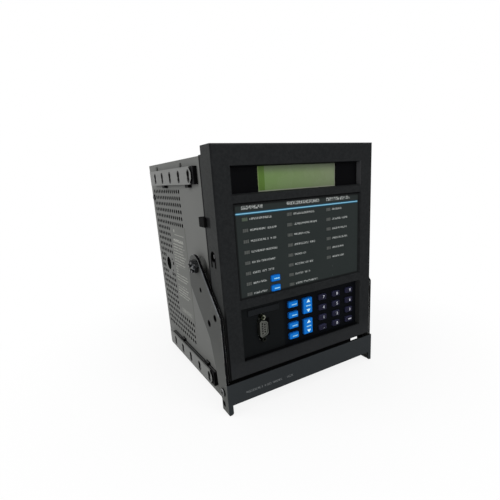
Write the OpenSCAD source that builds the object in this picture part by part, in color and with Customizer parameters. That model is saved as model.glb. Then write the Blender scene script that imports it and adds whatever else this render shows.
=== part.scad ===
// Drawout protection relay unit: perforated steel chassis, moulded front bezel with display,
// indicator panel and keypad, and a swinging U-shaped locking handle.
// The front faces -Y and the unit stands on its chassis floor.

/* [Bezel] */
// Width of the moulded front bezel
bezel_w = 202; // [196:1:212]
// Height of the moulded front bezel
bezel_h = 236.5; // [232:0.5:244]
// Depth of the bezel's side skirts
bezel_d = 29.5; // [27:0.5:34]
// Depth of the bezel where it stands above the chassis roof
bezel_top_d = 23.5; // [18:0.5:26]
// Thickness of the bezel's skirts
bezel_wall = 4; // [3.4:0.1:5]
// Thickness of the bezel's front wall
front_t = 8; // [7.6:0.1:9]
// Chamfer along the bezel's front edges
bezel_edge = 1.5; // [0.8:0.1:2.5]
// Height of the bezel's lower edge above the table
bezel_lift = 40; // [38:0.5:46]

/* [Windows in the bezel] */
// Width of the three windows at the bezel's front
window_w = 166; // [160:1:172]
// Slope of the windows' bevelled edges
window_bevel = 1.2; // [0.8:0.1:2]
// Depth of the display and keypad windows
window_depth = 6; // [5:0.1:6.4]
// Depth of the indicator panel's recess
status_depth = 1.8; // [1.2:0.1:2.4]
// Lower edge of the keypad window above the bezel's lower edge
keypad_z = 17; // [13:0.5:20]
// Height of the keypad window
keypad_h = 59; // [57:0.5:61]
// Lower edge of the indicator recess above the bezel's lower edge
status_z = 84.4; // [82:0.2:88]
// Height of the indicator recess
status_h = 98; // [94:0.5:100]
// Lower edge of the display window above the bezel's lower edge
display_z = 189.8; // [187:0.2:194]
// Height of the display window
display_h = 27; // [24:0.5:30]

/* [Display] */
// Width of the visible liquid crystal area
lcd_w = 101.5; // [92:0.5:110]
// Width of the display module's metal rim
lcd_rim = 5; // [3:0.5:8]

/* [Indicators] */
// Width of one indicator window
led_w = 6.2; // [5:0.1:8]
// Height of one indicator window
led_h = 3.3; // [2.6:0.1:4.5]
// Distance between indicator rows
led_pitch = 10.9; // [9.8:0.1:11.2]
// Distance between indicator columns
led_column_pitch = 53; // [48:0.2:56]
// Thickness of the printed indicator overlay
overlay_t = 0.8; // [0.5:0.1:1.2]

/* [Keys] */
// Distance between key rows
key_pitch = 12.7; // [12:0.1:13.2]
// Width of a blue command key
blue_w = 13.4; // [12:0.1:15]
// Height of a blue command key
blue_h = 7.6; // [7:0.1:9]
// Width of a number key
digit_w = 11.5; // [10:0.1:14]
// Height of a number key
digit_h = 6.8; // [6.5:0.1:8.6]
// Width of a reset key on the indicator panel
reset_w = 12; // [11:0.1:14]
// Height of a reset key on the indicator panel
reset_h = 7.2; // [6.5:0.1:8.2]
// Radius of a key cap's corners
key_r = 2; // [1:0.1:2.6]
// How far a key cap stands proud of its panel
key_proud = 2.4; // [1.6:0.1:3]
// Travel of a key when it is pressed
key_travel = 1; // [0.6:0.1:1.2]

/* [Serial port] */
// Length of the port's D-shaped shell
port_l = 19.2; // [17:0.1:20]
// Width of the port's D-shaped shell
port_w = 9.8; // [9:0.1:11]
// Distance between the two jack screws
jack_pitch = 25; // [24.6:0.1:26]
// Diameter of the jack screws' threaded hole
jack_bore = 2.8; // [2.4:0.1:3]

/* [Chassis] */
// Height of the chassis
chassis_h = 268.5; // [266:0.5:272]
// Rear face of the chassis behind the bezel's front
chassis_back = 228; // [222:1:240]
// Thickness of the chassis sheet
sheet_t = 1.2; // [1:0.1:1.6]
// Depth of the folded flanges of the roof and the floor
flange = 9; // [7:0.5:11]
// Distance between vent holes
vent_pitch = 8; // [7.6:0.1:8.4]
// Diameter of a vent hole
vent_d = 4.5; // [3:0.1:4.6]
// Diameter of the round access hole in each side
access_d = 18; // [12:0.5:18]

/* [Guide rails] */
// Height of a guide rail strip
rail_h = 18; // [17:0.5:20]
// Thickness of a guide rail strip
rail_t = 1.5; // [1.2:0.1:2]
// Gap between the chassis side and the guide rail strip
rail_gap = 4.3; // [3.5:0.1:5]
// Length of a guide rail strip
rail_l = 156; // [150:1:164]
// Distance between the slots in a guide rail
slot_pitch = 31.2; // [29:0.1:32]

/* [Handle] */
// Height of the handle bar's front plate
bar_h = 25; // [20:0.5:28]
// Thickness of the handle bar's front plate
bar_t = 2.4; // [2:0.1:3]
// Gap between the bezel's lower edge and the handle bar
bar_gap = 3.4; // [2.6:0.1:5]
// Thickness of a handle arm
arm_t = 3; // [2:0.1:3.4]
// Running gap between an arm and the bezel's side
arm_gap = 1.5; // [0.8:0.1:2]
// Pivot's distance behind the bezel's front
pivot_y = 54.5; // [52:0.5:58]
// Pivot's height above the table
pivot_z = 156.5; // [154:0.5:159]
// Radius of the arm's round upper end
arm_head_r = 17.5; // [16.5:0.5:19]
// Diameter of the pivot stud's bearing
pivot_d = 10; // [8:0.5:12]
// Width across the corners of the slotted nut that keeps an arm on its stud
cap_d = 15.6; // [14:0.2:17]

/* [Rear plugs] */
// Width of a rear plug
plug_w = 150; // [140:1:160]
// Height of a rear plug
plug_h = 22; // [18:0.5:26]
// Distance between rear plugs
plug_pitch = 70; // [60:1:76]
// How far the rear plugs stand out behind the chassis
plug_proud = 12; // [10:0.5:16]

/* [Hidden] */

// Fits and small fixed details
fit = 0.15;
key_gap = 0.35;
key_seat = 0.1;
key_flange = 1;
key_edge = 0.8;
seat_lip = 3;
cut = 1;
bore_fn = 32;
fine_fn = 24;
vent_fn = 16;

// Overall layout, with distances measured back from the bezel's front face
total_d = chassis_back + plug_proud;
front_y = -total_d / 2;
chassis_w = bezel_w - 2 * bezel_wall;
side_x = chassis_w / 2;
inner_x = side_x - sheet_t;

// Layers of the front, from the bezel's wall back to the circuit board
board_gap = 4;
board_y = front_t + board_gap;
board_t = 1.6;
board_side_gap = 1.8;
board_w = 2 * (inner_x - board_side_gap);
board_post_d = 5;
board_post_x = (window_w / 2 - window_bevel + seat_lip + side_x - sheet_t) / 2;
board_margin = 8;

// Indicator rows, columns and their place on the panel
led_columns = [8, 8, 6];
led_first_x = -70.5;
led_top_gap = 16.2;
led_top_z = bezel_lift + status_z + status_h - led_top_gap;
guide_tooth = 3.2;
guide_bar_y = status_depth + guide_tooth;

// Key places on the keypad and on the indicator panel
key_top_z = bezel_lift + keypad_z + keypad_h / 2 + 1.5 * key_pitch;
blue_x = -15.5;
rocker_x = 4.8;
digit_first_x = 27.2;
digit_pitch = 20.9;
digit_drop = 1;
reset_x = -38.7;
reset_rise = 6.1;
reset_z = bezel_lift + status_z + reset_rise;
reset_pitch = 10.8;
stem_d = 4;
stem_gap = 0.2;
stem_end_y = board_y - key_travel - stem_gap;
rocker_trim = 1.2;
rocker_h = key_pitch + blue_h - rocker_trim;
rocker_gap = 0.6;
rocker_pin_r = 1;
rocker_pin_l = 2.2;
rocker_axis_back = 1.9;
rocker_axis_y = front_t + rocker_axis_back;
ear_gap = 0.4;
ear_t = 2.2;
ear_h = 4.4;
ear_d = 3.4;
pin_fit = 0.05;

// Serial port
port_x = -56.8;
port_rise = 31.3;
port_z = bezel_lift + keypad_z + port_rise;
port_taper = 1.6;
port_skin = 0.7;
port_proud = 5.6;
port_front_y = window_depth - port_proud;
port_flange_t = 1;
port_flange_end = 3;
port_flange_side = 1.4;
port_flange_l = jack_pitch + 2 * port_flange_end;
port_flange_w = port_w + 2 * port_flange_side;
port_cut_gap = 0.5;
jack_af = 5;
jack_proud = 5.4;
jack_front_y = window_depth - jack_proud;
jack_cut_gap = 1;
jack_depth = 5;
jack_end_gap = 0.5;
jack_shank_d = 2.8;
pin_bore = 1.1;
pin_pitch = 2.76;
pin_row = 2.84;
pin_depth = 4;
insulator_set = 0.8;
cover_plate_x = -53.2;
cover_plate_w = 39.2;
cover_plate_h = 6.8;
cover_plate_t = 1.2;
cover_plate_rise = 50.5;
cover_plate_z = bezel_lift + keypad_z + cover_plate_rise;

// Handle
arm_in_x = bezel_w / 2 + arm_gap;
arm_out_x = arm_in_x + arm_t;
bar_top_z = bezel_lift - bar_gap;
bar_low_z = bar_top_z - bar_h;
foot_w = 5;
foot_clear = 0.5;
lug_w = 6;
lug_drop = 9.5;
lug_top_z = bezel_lift - lug_drop;
lug_step = 0.5;
lug_low_z = bar_low_z + lug_step;
lug_back_y = 16.5;

// Outline of a handle arm, from its foot up to the round end below the pivot
arm_foot_y = 17.5;
arm_foot_z = 13;
arm_heel_y = 22.5;
arm_heel_z = 21;
arm_waist_y = 27;
arm_waist_rise = 6;
arm_knee_y = 35.5;
arm_knee_rise = 38;
arm_shoulder_back = 25;
arm_shoulder_drop = 27.5;
arm_head_back = 6.5;
arm_head_drop = 6.3;
arm_kink_rise = 70.5;
arm_pivot = [pivot_y, pivot_z];
arm_head = [pivot_y + arm_head_back, pivot_z - arm_head_drop];
arm_shoulder = [pivot_y + arm_shoulder_back, pivot_z - arm_shoulder_drop];
arm_kink = [bar_t, bezel_lift + arm_kink_rise];

// Holes in a handle arm
arm_small_hole_d = 4.2;
arm_large_hole_d = 6;
upper_hole_ahead = 5;
upper_hole_drop = 26.2;
middle_hole_y = 33.6;
middle_hole_rise = 56.4;
front_hole_y = 15.9;
front_hole_rise = 67.7;
low_hole_y = 12.6;
low_hole_z = 9.4;
arm_small_holes = [[pivot_y - upper_hole_ahead, pivot_z - upper_hole_drop], [low_hole_y, low_hole_z]];
arm_large_holes = [
  [middle_hole_y, bezel_lift + middle_hole_rise], [front_hole_y, bezel_lift + front_hole_rise]
];

// Screws, studs, nuts and stops of the handle
handle_screw_y = 11.4;
handle_screw_rise = 12.6;
handle_screw_at = [handle_screw_y, bar_low_z + handle_screw_rise];
handle_screw_d = 4;
handle_screw_head_d = 8.4;
handle_screw_head_t = 2;
handle_screw_l = 8;
stud_collar_d = 16;
stud_gap = 0.3;
stud_tip_d = 6;
stud_rivet_t = 1.5;
cap_t = 6.6;
cap_crown = 2.8;
cap_slots = 6;
cap_slot_w = 2.8;
stop_h = 10;
stop_rise = 43.5;
stop_z = pivot_z + stop_rise;
stop_back = 8.5;
stop_front = 5.5;
stop_proud = 3;

// Side plate: tongue into the bezel, vents and access hole
roof_lap = 6;
roof_tongue = bezel_d - bezel_top_d + roof_lap;
tongue_l = 16;
tongue_low_gap = 6;
tongue_top_gap = 8;
tongue_low = bezel_lift + bezel_wall + tongue_low_gap;
tongue_top = chassis_h - tongue_top_gap;
apron_lap = 4;
vent_front_y = 112;
vent_top_gap = 34.5;
vent_top_z = chassis_h - vent_top_gap;
vent_rows = 25;
vent_cols = 14;
label_first_row = 6;
label_last_row = 20;
label_cols = 7;
access_y = 188;
access_rise = 95.6;
access_at = [access_y, bezel_lift + access_rise];
access_screw_d = 3;
access_screw_ahead = 16;
access_screw_pitch = 16;
access_screws = [for (side = [-1, 1]) access_at + [-access_screw_ahead, side * access_screw_pitch / 2]];
access_margin = 6;

// Screws in the sides
screw_d = 4;
screw_head_d = 6.6;
screw_head_t = 1.8;
rear_screw_inset = 8.6;
rear_screw_drop = 8.4;
rear_screw_at = [chassis_back - rear_screw_inset, vent_top_z - rear_screw_drop];
rear_screw_l = 6;
latch_y = 16.4;
latch_rise = 131.6;
latch_at = [latch_y, bezel_lift + latch_rise];
latch_r = 5;
latch_depth = 3;
latch_leg_w = 1.6;
latch_leg_l = 11;
latch_head_d = 5.4;
latch_screw_tip = 1;
rivet_d = 3;
rivet_head_d = 5;
rivet_head_t = 0.9;
rivet_front_y = 95;
rivet_rear_y = 189.5;
rivet_ys = [rivet_front_y, rivet_rear_y];
rivet_inset = sheet_t + flange / 2;

// Guide rails and their runners
rail_front_y = 50.5;
rail_in_x = side_x + rail_gap;
rail_low_z = 11.6;
rail_tone = [0.45, 0.45, 0.44];
rail_top_gap = 8.7;
rail_top_z = chassis_h - rail_top_gap - rail_h;
rail_chamfer = 6;
slot_first_y = 8;
slot_w = 4.6;
slot_low = 7.7;
slot_tall = 5.5;
slot_hole_d = 3.6;
slot_hole_z = 5.7;
runner_front = 3.5;
runner_short = 8;
runner_tab_h = 3.4;
runner_tab_l = 9.5;
runner_tab_first = 19;
runner_tab_pitch = 85.5;

// Rear plugs and the boards behind them
plug_mid_z = chassis_h / 2;
plug_depth = 18;
plug_flange = 3;
plug_flange_t = 2;
blade_count = 12;
blade_w = 6.3;
blade_t = 0.8;
blade_l = 8;
blade_end = 6;
blade_pitch = (plug_w - 2 * blade_end) / (blade_count - 1);
plug_front_y = total_d - blade_l - plug_depth;
main_board_x = -62;
power_board_x = 62;
inner_board_t = 1.6;
inner_board_gap = 12;
inner_board_front = bezel_d + inner_board_gap;
inner_board_top_gap = 24;
inner_board_h = chassis_h - inner_board_top_gap;
relay_w = 15;
relay_d = 30;
relay_h = 24;
relay_first_y = 60;
relay_first_z = 60;
relay_pitch_y = 38;
relay_pitch_z = 34;
ct_w = 26;
ct_d = 34;
ct_first_y = 55;
ct_first_z = 50;
ct_pitch = 44;
ct_bore = 12;

// Places a shape that is measured back from the bezel's front face
module at_front() {
  translate([0, front_y, 0]) children();
}

// A plate of an outline drawn in width and height, from y = 0 back to y = t
module slab(t) {
  translate([0, t, 0]) rotate([90, 0, 0]) linear_extrude(t) children();
}

// A plate of an outline drawn in depth and height, from x = 0 out to x = t
module side_slab(t) {
  rotate([90, 0, 90]) linear_extrude(t) children();
}

// A round bar along X that starts at x = 0
module x_rod(d, l) {
  rotate([0, 90, 0]) cylinder(d = d, h = l, $fn = bore_fn);
}

// A round bar along Y that starts at y = 0
module y_rod(d, l, facets = bore_fn) {
  translate([0, l, 0]) rotate([90, 0, 0]) cylinder(d = d, h = l, $fn = facets);
}

module mirror_x() {
  mirror([1, 0, 0]) children();
}

module both_sides() {
  children();
  mirror_x() children();
}

// A block of width w, depth d and height h about its middle, chamfered by c along its front edges
module front_block(w, d, h, c) {
  intersection() {
    translate([0, 0, -h / 2]) linear_extrude(h)
      polygon([[-w / 2 + c, 0], [w / 2 - c, 0], [w / 2, c], [w / 2, d], [-w / 2, d], [-w / 2, c]]);
    translate([-w / 2, 0, 0]) side_slab(w)
      polygon([[0, -h / 2 + c], [c, -h / 2], [d, -h / 2], [d, h / 2], [c, h / 2], [0, h / 2 - c]]);
  }
}

// A bevelled window cut of width w and height h at y = 0 that narrows by bevel on every side at depth d
module window_cut(w, h, d, bevel) {
  flare = bevel * (d + cut) / d;
  intersection() {
    translate([0, 0, -h]) linear_extrude(2 * h) polygon([
      [-w / 2 - flare + bevel, -cut], [w / 2 + flare - bevel, -cut],
      [w / 2 - bevel, d], [-w / 2 + bevel, d]]);
    translate([-w, 0, 0]) side_slab(2 * w) polygon([
      [-cut, -h / 2 - flare + bevel], [d, -h / 2 + bevel],
      [d, h / 2 - bevel], [-cut, h / 2 + flare - bevel]]);
  }
}

// A box about its middle in width and height, from y0 back to y1
module box_y(w, h, y0, y1) {
  translate([-w / 2, y0, -h / 2]) cube([w, y1 - y0, h]);
}

function column_x(i) = led_first_x + i * led_column_pitch;
function led_z(row) = led_top_z - row * led_pitch;
function key_z(row) = key_top_z - row * key_pitch;
function digit_x(i) = digit_first_x + i * digit_pitch;
function digit_z(row) = key_z(row) - digit_drop;
function window_mid(z, h) = bezel_lift + z + h / 2;

// Middle heights of the windows and the size of the seats behind them
display_mid = window_mid(display_z, display_h);
status_mid = window_mid(status_z, status_h);
keypad_mid = window_mid(keypad_z, keypad_h);
seat_w = window_w - 2 * window_bevel + 2 * seat_lip;
display_seat_h = display_h - 2 * window_bevel + 2 * seat_lip;
keypad_seat_h = keypad_h - 2 * window_bevel + 2 * seat_lip;
status_in_w = window_w - 2 * window_bevel;
status_in_h = status_h - 2 * window_bevel;
lcd_h = display_h - 2 * window_bevel;
lcd_lap = 1;
lcd_glass_w = lcd_w + 2 * lcd_lap;
lcd_glass_h = lcd_h + 2 * lcd_lap;
board_low = bezel_lift + keypad_z + board_margin - seat_lip;
board_top = bezel_lift + display_z + display_h + seat_lip;
bezel_cavity_top = max(chassis_h, board_top + board_side_gap);

// Front bezel
// Moulded shell with skirts, three bevelled windows and posts for the circuit board
module front_bezel() {
  color([0.15, 0.16, 0.17]) at_front() difference() {
    bezel_shell();
    translate([0, 0, display_mid]) window_cut(window_w, display_h, window_depth, window_bevel);
    translate([0, 0, display_mid]) box_y(seat_w, display_seat_h, window_depth, front_t + cut);
    translate([0, 0, keypad_mid]) window_cut(window_w, keypad_h, window_depth, window_bevel);
    translate([0, 0, keypad_mid]) box_y(seat_w, keypad_seat_h, window_depth, front_t + cut);
    translate([0, 0, status_mid]) window_cut(window_w, status_h, status_depth, window_bevel);
    translate([0, 0, status_mid])
      box_y(status_in_w, status_in_h, status_depth - fit, status_depth + overlay_t);
    light_slots();
    reset_openings(front_t + cut);
    both_sides() latch_recess();
  }
}

module bezel_shell() {
  mid = bezel_lift + bezel_h / 2;
  difference() {
    translate([0, 0, mid]) front_block(bezel_w, bezel_d, bezel_h, bezel_edge);
    translate([-side_x, front_t, bezel_lift + bezel_wall])
      cube([chassis_w, bezel_d, bezel_cavity_top - bezel_lift - bezel_wall]);
    translate([-bezel_w, bezel_top_d, chassis_h]) cube([2 * bezel_w, bezel_d, bezel_h]);
  }
  for (x = [-board_post_x, board_post_x], z = [keypad_mid, status_mid, display_mid])
    translate([x, front_t - cut, z]) y_rod(board_post_d, board_y - front_t + cut);
}

// Long slots behind the indicator overlay, one to a column
module light_slots() {
  for (i = [0 : 2]) {
    span = (led_columns[i] - 1) * led_pitch;
    translate([column_x(i), 0, led_top_z - span / 2])
      box_y(led_w + 2 * key_gap, span + led_h + 2 * key_gap, status_depth, front_t + cut);
  }
}

module reset_openings(depth) {
  for (i = [0, 1]) translate([reset_x, 0, reset_z + i * reset_pitch])
    slab(depth) round_rect(reset_w + 2 * key_gap, reset_h + 2 * key_gap, key_r + key_gap);
}

// Round recess with two legs in the bezel's skirt, and the hole of its fixing screw
module latch_recess() {
  translate([bezel_w / 2 - latch_depth, 0, 0]) side_slab(latch_depth + cut) {
    translate(latch_at) circle(r = latch_r, $fn = bore_fn);
    for (leg_y = [-latch_r, latch_r - latch_leg_w])
      translate([latch_at[0] + leg_y, latch_at[1] - latch_leg_l]) square([latch_leg_w, latch_leg_l]);
  }
  translate([0, latch_at[0], latch_at[1]]) x_rod(screw_d + 2 * fit, bezel_w);
}

// Display
// Black mask plate behind the display window, open over the liquid crystal
module display_mask() {
  color([0.05, 0.05, 0.06]) at_front() translate([0, 0, display_mid]) difference() {
    box_y(seat_w - 2 * fit, display_seat_h - 2 * fit, window_depth, front_t);
    box_y(lcd_w, lcd_h, window_depth - cut, front_t + cut);
  }
}

module lcd_glass() {
  color([0.42, 0.49, 0.33]) at_front() translate([0, 0, display_mid])
    box_y(lcd_glass_w, lcd_glass_h, front_t, board_y);
}

// Metal rim around the display glass, fixed to the board
module lcd_frame() {
  color([0.45, 0.46, 0.46]) at_front() translate([0, 0, display_mid]) difference() {
    box_y(lcd_glass_w + 2 * lcd_rim, lcd_glass_h + lcd_rim, front_t, board_y);
    box_y(lcd_glass_w + 2 * fit, lcd_glass_h + 2 * fit, front_t - cut, board_y + cut);
  }
}

// Indicator panel
module status_overlay() {
  color([0.14, 0.16, 0.16]) at_front() difference() {
    translate([0, 0, status_mid])
      box_y(status_in_w - 2 * fit, status_in_h - 2 * fit, status_depth, status_depth + overlay_t);
    for (i = [0 : 2], row = [0 : led_columns[i] - 1])
      translate([column_x(i), 0, led_z(row)])
        box_y(led_w + 2 * fit, led_h + 2 * fit, 0, front_t);
    reset_openings(front_t);
  }
}

// A light guide: one bar on the board with a tooth for each indicator window
module light_guide(i) {
  span = (led_columns[i] - 1) * led_pitch;
  color([0.55, 0.56, 0.55]) at_front() {
    translate([column_x(i), 0, led_top_z - span / 2]) box_y(led_w, span + led_h, guide_bar_y, board_y);
    for (row = [0 : led_columns[i] - 1])
      translate([column_x(i), 0, led_z(row)]) box_y(led_w, led_h, status_depth, guide_bar_y + cut);
  }
}

module light_guide_left() {
  light_guide(0);
}

module light_guide_middle() {
  light_guide(1);
}

module light_guide_right() {
  light_guide(2);
}

// Keypad
// Recessed plate with the key openings, the port's cut-out and ears for the rockers' pins
module keypad_plate() {
  color([0.09, 0.09, 0.1]) at_front() difference() {
    union() {
      translate([0, 0, keypad_mid]) box_y(seat_w - 2 * fit, keypad_seat_h - 2 * fit, window_depth, front_t);
      for (i = [0, 1]) rocker_ears(i);
    }
    for (row = [0 : 3]) {
      translate([blue_x, 0, key_z(row)]) key_opening(blue_w, blue_h);
      for (i = [0 : 2]) translate([digit_x(i), 0, digit_z(row)]) key_opening(digit_w, digit_h);
    }
    for (i = [0, 1])
      translate([rocker_x, 0, rocker_z(i)])
        box_y(blue_w + 2 * key_gap, rocker_h + 2 * rocker_gap, 0, front_t + cut);
    translate([port_x, 0, port_z]) slab(front_t + cut)
      d_outline(port_l + 2 * port_cut_gap, port_w + 2 * port_cut_gap);
    jack_places() y_rod(jack_af + 2 * jack_cut_gap, front_t + cut);
  }
}

function rocker_z(i) = key_z(2 * i) - key_pitch / 2;

module key_opening(w, h) {
  slab(front_t + cut) round_rect(w + 2 * key_gap, h + 2 * key_gap, key_r + key_gap);
}

// A rectangle about its middle with round corners
module round_rect(w, h, r) {
  square([w - 2 * r, h], center = true);
  square([w, h - 2 * r], center = true);
  for (x = [-1, 1], z = [-1, 1]) translate([x * (w / 2 - r), z * (h / 2 - r)]) circle(r = r, $fn = fine_fn);
}

// Two bearing ears behind the plate, bored for a rocker's pins
module rocker_ears(i) {
  ear_x = blue_w / 2 + ear_gap;
  translate([rocker_x, 0, rocker_z(i)]) for (side = [-1, 1]) difference() {
    translate([side * (ear_x + ear_t / 2), 0, 0]) box_y(ear_t, ear_h, front_t - cut, front_t + ear_d);
    translate([side * ear_x - ear_t * 2, rocker_axis_y, 0]) x_rod(2 * (rocker_pin_r + pin_fit), ear_t * 4);
  }
}

// A key: chamfered cap, a flange that keeps it behind its panel, and a stem towards its switch
module key_piece(w, h, top_y) {
  back = front_t + key_seat;
  intersection() {
    translate([0, top_y, 0]) front_block(w, back - top_y, h, key_edge);
    slab(back) round_rect(w, h, key_r);
  }
  box_y(w + 2 * key_flange, h + 2 * key_flange, back, back + key_flange);
  translate([0, back, 0]) y_rod(stem_d, stem_end_y - back);
}

module blue_key(row) {
  color([0.15, 0.42, 0.68]) at_front() translate([blue_x, 0, key_z(row)])
    key_piece(blue_w, blue_h, window_depth - key_proud);
}

module digit_key(i, row) {
  color([0.13, 0.12, 0.16]) at_front() translate([digit_x(i), 0, digit_z(row)])
    key_piece(digit_w, digit_h, window_depth - key_proud);
}

module panel_key(i) {
  color([0.15, 0.42, 0.68]) at_front() translate([reset_x, 0, reset_z + i * reset_pitch])
    key_piece(reset_w, reset_h, status_depth - key_proud / 2);
}

// A two-way rocker with a pin on each side
module rocker(i) {
  color([0.15, 0.42, 0.68]) at_front() translate([rocker_x, 0, rocker_z(i)]) {
    intersection() {
      translate([0, window_depth - key_proud, 0])
        front_block(blue_w, front_t - window_depth + key_proud + key_seat, rocker_h, key_edge);
      slab(front_t + key_seat) round_rect(blue_w, rocker_h, key_r);
    }
    box_y(blue_w, ear_h, front_t - cut, rocker_axis_y + rocker_pin_r);
    translate([-blue_w / 2 - rocker_pin_l, rocker_axis_y, 0])
      x_rod(2 * rocker_pin_r, blue_w + 2 * rocker_pin_l);
  }
}

module reset_key() {
  panel_key(1);
}

module next_key() {
  panel_key(0);
}

module message_rocker() {
  rocker(0);
}

module value_rocker() {
  rocker(1);
}

// Circuit board behind the bezel that carries the display, the guides and the key switches
module front_board() {
  color([0.1, 0.28, 0.16]) at_front() translate([-board_w / 2, board_y, board_low])
    cube([board_w, board_t, board_top - board_low]);
}

// Serial port
// Outline of a D-shaped connector standing upright, wide side to the left
module d_outline(l, w) {
  corner = w / 5;
  polygon([
    [-w / 2, -l / 2 + corner], [-w / 2 + corner, -l / 2], [w / 2 - corner, -l / 2 + port_taper],
    [w / 2, -l / 2 + port_taper + corner], [w / 2, l / 2 - port_taper - corner],
    [w / 2 - corner, l / 2 - port_taper], [-w / 2 + corner, l / 2], [-w / 2, l / 2 - corner]]);
}

module jack_places() {
  for (side = [-1, 1]) translate([port_x, 0, port_z + side * jack_pitch / 2]) children();
}

// Pressed steel shell with its mounting flange behind the keypad plate
module port_shell() {
  color([0.55, 0.56, 0.55]) at_front() difference() {
    union() {
      translate([port_x, port_front_y, port_z]) slab(front_t - port_front_y + fit) d_outline(port_l, port_w);
      translate([port_x, 0, port_z]) box_y(port_flange_w, port_flange_l, front_t, front_t + port_flange_t);
    }
    translate([port_x, 0, port_z]) slab(board_y) d_outline(port_l - 2 * port_skin, port_w - 2 * port_skin);
    jack_places() y_rod(jack_shank_d + 2 * fit, board_y);
  }
}

// Black insulator with nine contact holes, soldered to the board behind
module port_insulator() {
  in_l = port_l - 2 * port_skin - 2 * fit;
  in_w = port_w - 2 * port_skin - 2 * fit;
  front = port_front_y + insulator_set;
  color([0.1, 0.1, 0.1]) at_front() translate([port_x, 0, port_z]) difference() {
    translate([0, front, 0]) slab(board_y - front) d_outline(in_l, in_w);
    for (k = [-2 : 2]) translate([-pin_row / 2, 0, k * pin_pitch]) pin_hole(front);
    for (k = [-1.5 : 1.5]) translate([pin_row / 2, 0, k * pin_pitch]) pin_hole(front);
  }
}

module pin_hole(front) {
  y_rod(pin_bore, front + pin_depth, fine_fn);
}

// Hexagonal jack screws, each with a threaded hole for the plug's screw
module port_jack_screws() {
  color([0.6, 0.6, 0.58]) at_front() jack_places() difference() {
    union() {
      translate([0, jack_front_y, 0]) y_rod(jack_af / cos(30), front_t - jack_front_y, 6);
      translate([0, front_t - fit, 0]) y_rod(jack_shank_d, board_gap - jack_end_gap, fine_fn);
    }
    translate([0, jack_front_y - cut, 0]) y_rod(jack_bore, jack_depth + cut);
  }
}

// Plain raised plate above the port
module port_cover_plate() {
  color([0.12, 0.12, 0.13]) at_front() translate([cover_plate_x, window_depth - cover_plate_t, cover_plate_z])
    front_block(cover_plate_w, cover_plate_t, cover_plate_h, cover_plate_t / 3);
}

// Handle
// Front plate with a foot and a screw lug at each end
module handle_bar() {
  color([0.17, 0.18, 0.19]) at_front() {
    slab(bar_t) bar_outline();
    both_sides() difference() {
      translate([arm_in_x - lug_w, bar_t - fit, lug_low_z])
        cube([lug_w, lug_back_y - bar_t + fit, lug_top_z - lug_low_z]);
      translate([arm_in_x - lug_w - cut, handle_screw_at[0], handle_screw_at[1]])
        x_rod(handle_screw_d + 2 * fit, lug_w + 2 * cut);
    }
  }
}

module bar_outline() {
  translate([-arm_out_x, bar_low_z]) square([2 * arm_out_x, bar_h]);
  both_sides_flat() difference() {
    translate([arm_out_x - foot_w, foot_clear]) square([foot_w, bar_low_z - foot_clear + cut]);
    translate([arm_out_x - foot_w, foot_clear]) difference() {
      translate([-cut, -cut]) square(foot_w / 2 + cut);
      translate([foot_w / 2, foot_w / 2]) circle(d = foot_w, $fn = bore_fn);
    }
  }
}

module both_sides_flat() {
  children();
  mirror([1, 0]) children();
}

// Where the straight line from p touches the circle of radius r about c, on the side given
function tangent(p, c, r, side) =
  let (gap = c - p, d = norm(gap), turn = atan2(gap[1], gap[0]) + side * asin(r / d))
  p + sqrt(d * d - r * r) * [cos(turn), sin(turn)];

// Flat steel arm that widens above its foot and ends in a round head behind the pivot
module handle_arm() {
  color([0.3, 0.3, 0.3]) at_front() translate([arm_in_x, 0, 0]) side_slab(arm_t) difference() {
    union() {
      polygon([
        [bar_t, foot_clear], [arm_foot_y, foot_clear], [arm_foot_y, arm_foot_z], [arm_heel_y, arm_heel_z],
        [arm_waist_y, bezel_lift + arm_waist_rise], [arm_knee_y, bezel_lift + arm_knee_rise], arm_shoulder,
        tangent(arm_shoulder, arm_head, arm_head_r, -1), tangent(arm_kink, arm_head, arm_head_r, 1),
        arm_kink]);
      translate(arm_head) circle(r = arm_head_r, $fn = bore_fn);
    }
    translate(arm_pivot) circle(d = pivot_d + 2 * pin_fit, $fn = bore_fn);
    for (p = arm_small_holes) translate(p) circle(d = arm_small_hole_d, $fn = fine_fn);
    for (p = arm_large_holes) translate(p) circle(d = arm_large_hole_d, $fn = fine_fn);
    translate(handle_screw_at) circle(d = handle_screw_d + 2 * fit, $fn = fine_fn);
  }
}

module handle_arm_right() {
  handle_arm();
}

module handle_arm_left() {
  mirror_x() handle_arm();
}

// Screws that hold the arms to the bar
module handle_screws() {
  color([0.32, 0.32, 0.32]) at_front() both_sides()
    translate([arm_out_x, handle_screw_at[0], handle_screw_at[1]]) {
      x_rod(handle_screw_head_d, handle_screw_head_t);
      translate([-handle_screw_l, 0, 0]) x_rod(handle_screw_d, handle_screw_l);
    }
}

// Shouldered studs riveted into the chassis sides, which the arms turn on
module pivot_studs() {
  color([0.35, 0.35, 0.36]) at_front() both_sides() translate([0, pivot_y, pivot_z]) {
    translate([side_x, 0, 0]) x_rod(stud_collar_d, arm_in_x - stud_gap - side_x);
    translate([side_x, 0, 0]) x_rod(pivot_d, arm_out_x + stud_gap - side_x);
    translate([inner_x - stud_rivet_t, 0, 0])
      x_rod(stud_tip_d, arm_out_x + stud_gap + cap_t - cap_crown - inner_x + stud_rivet_t);
    translate([inner_x - stud_rivet_t, 0, 0]) x_rod(pivot_d, stud_rivet_t);
  }
}

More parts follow.
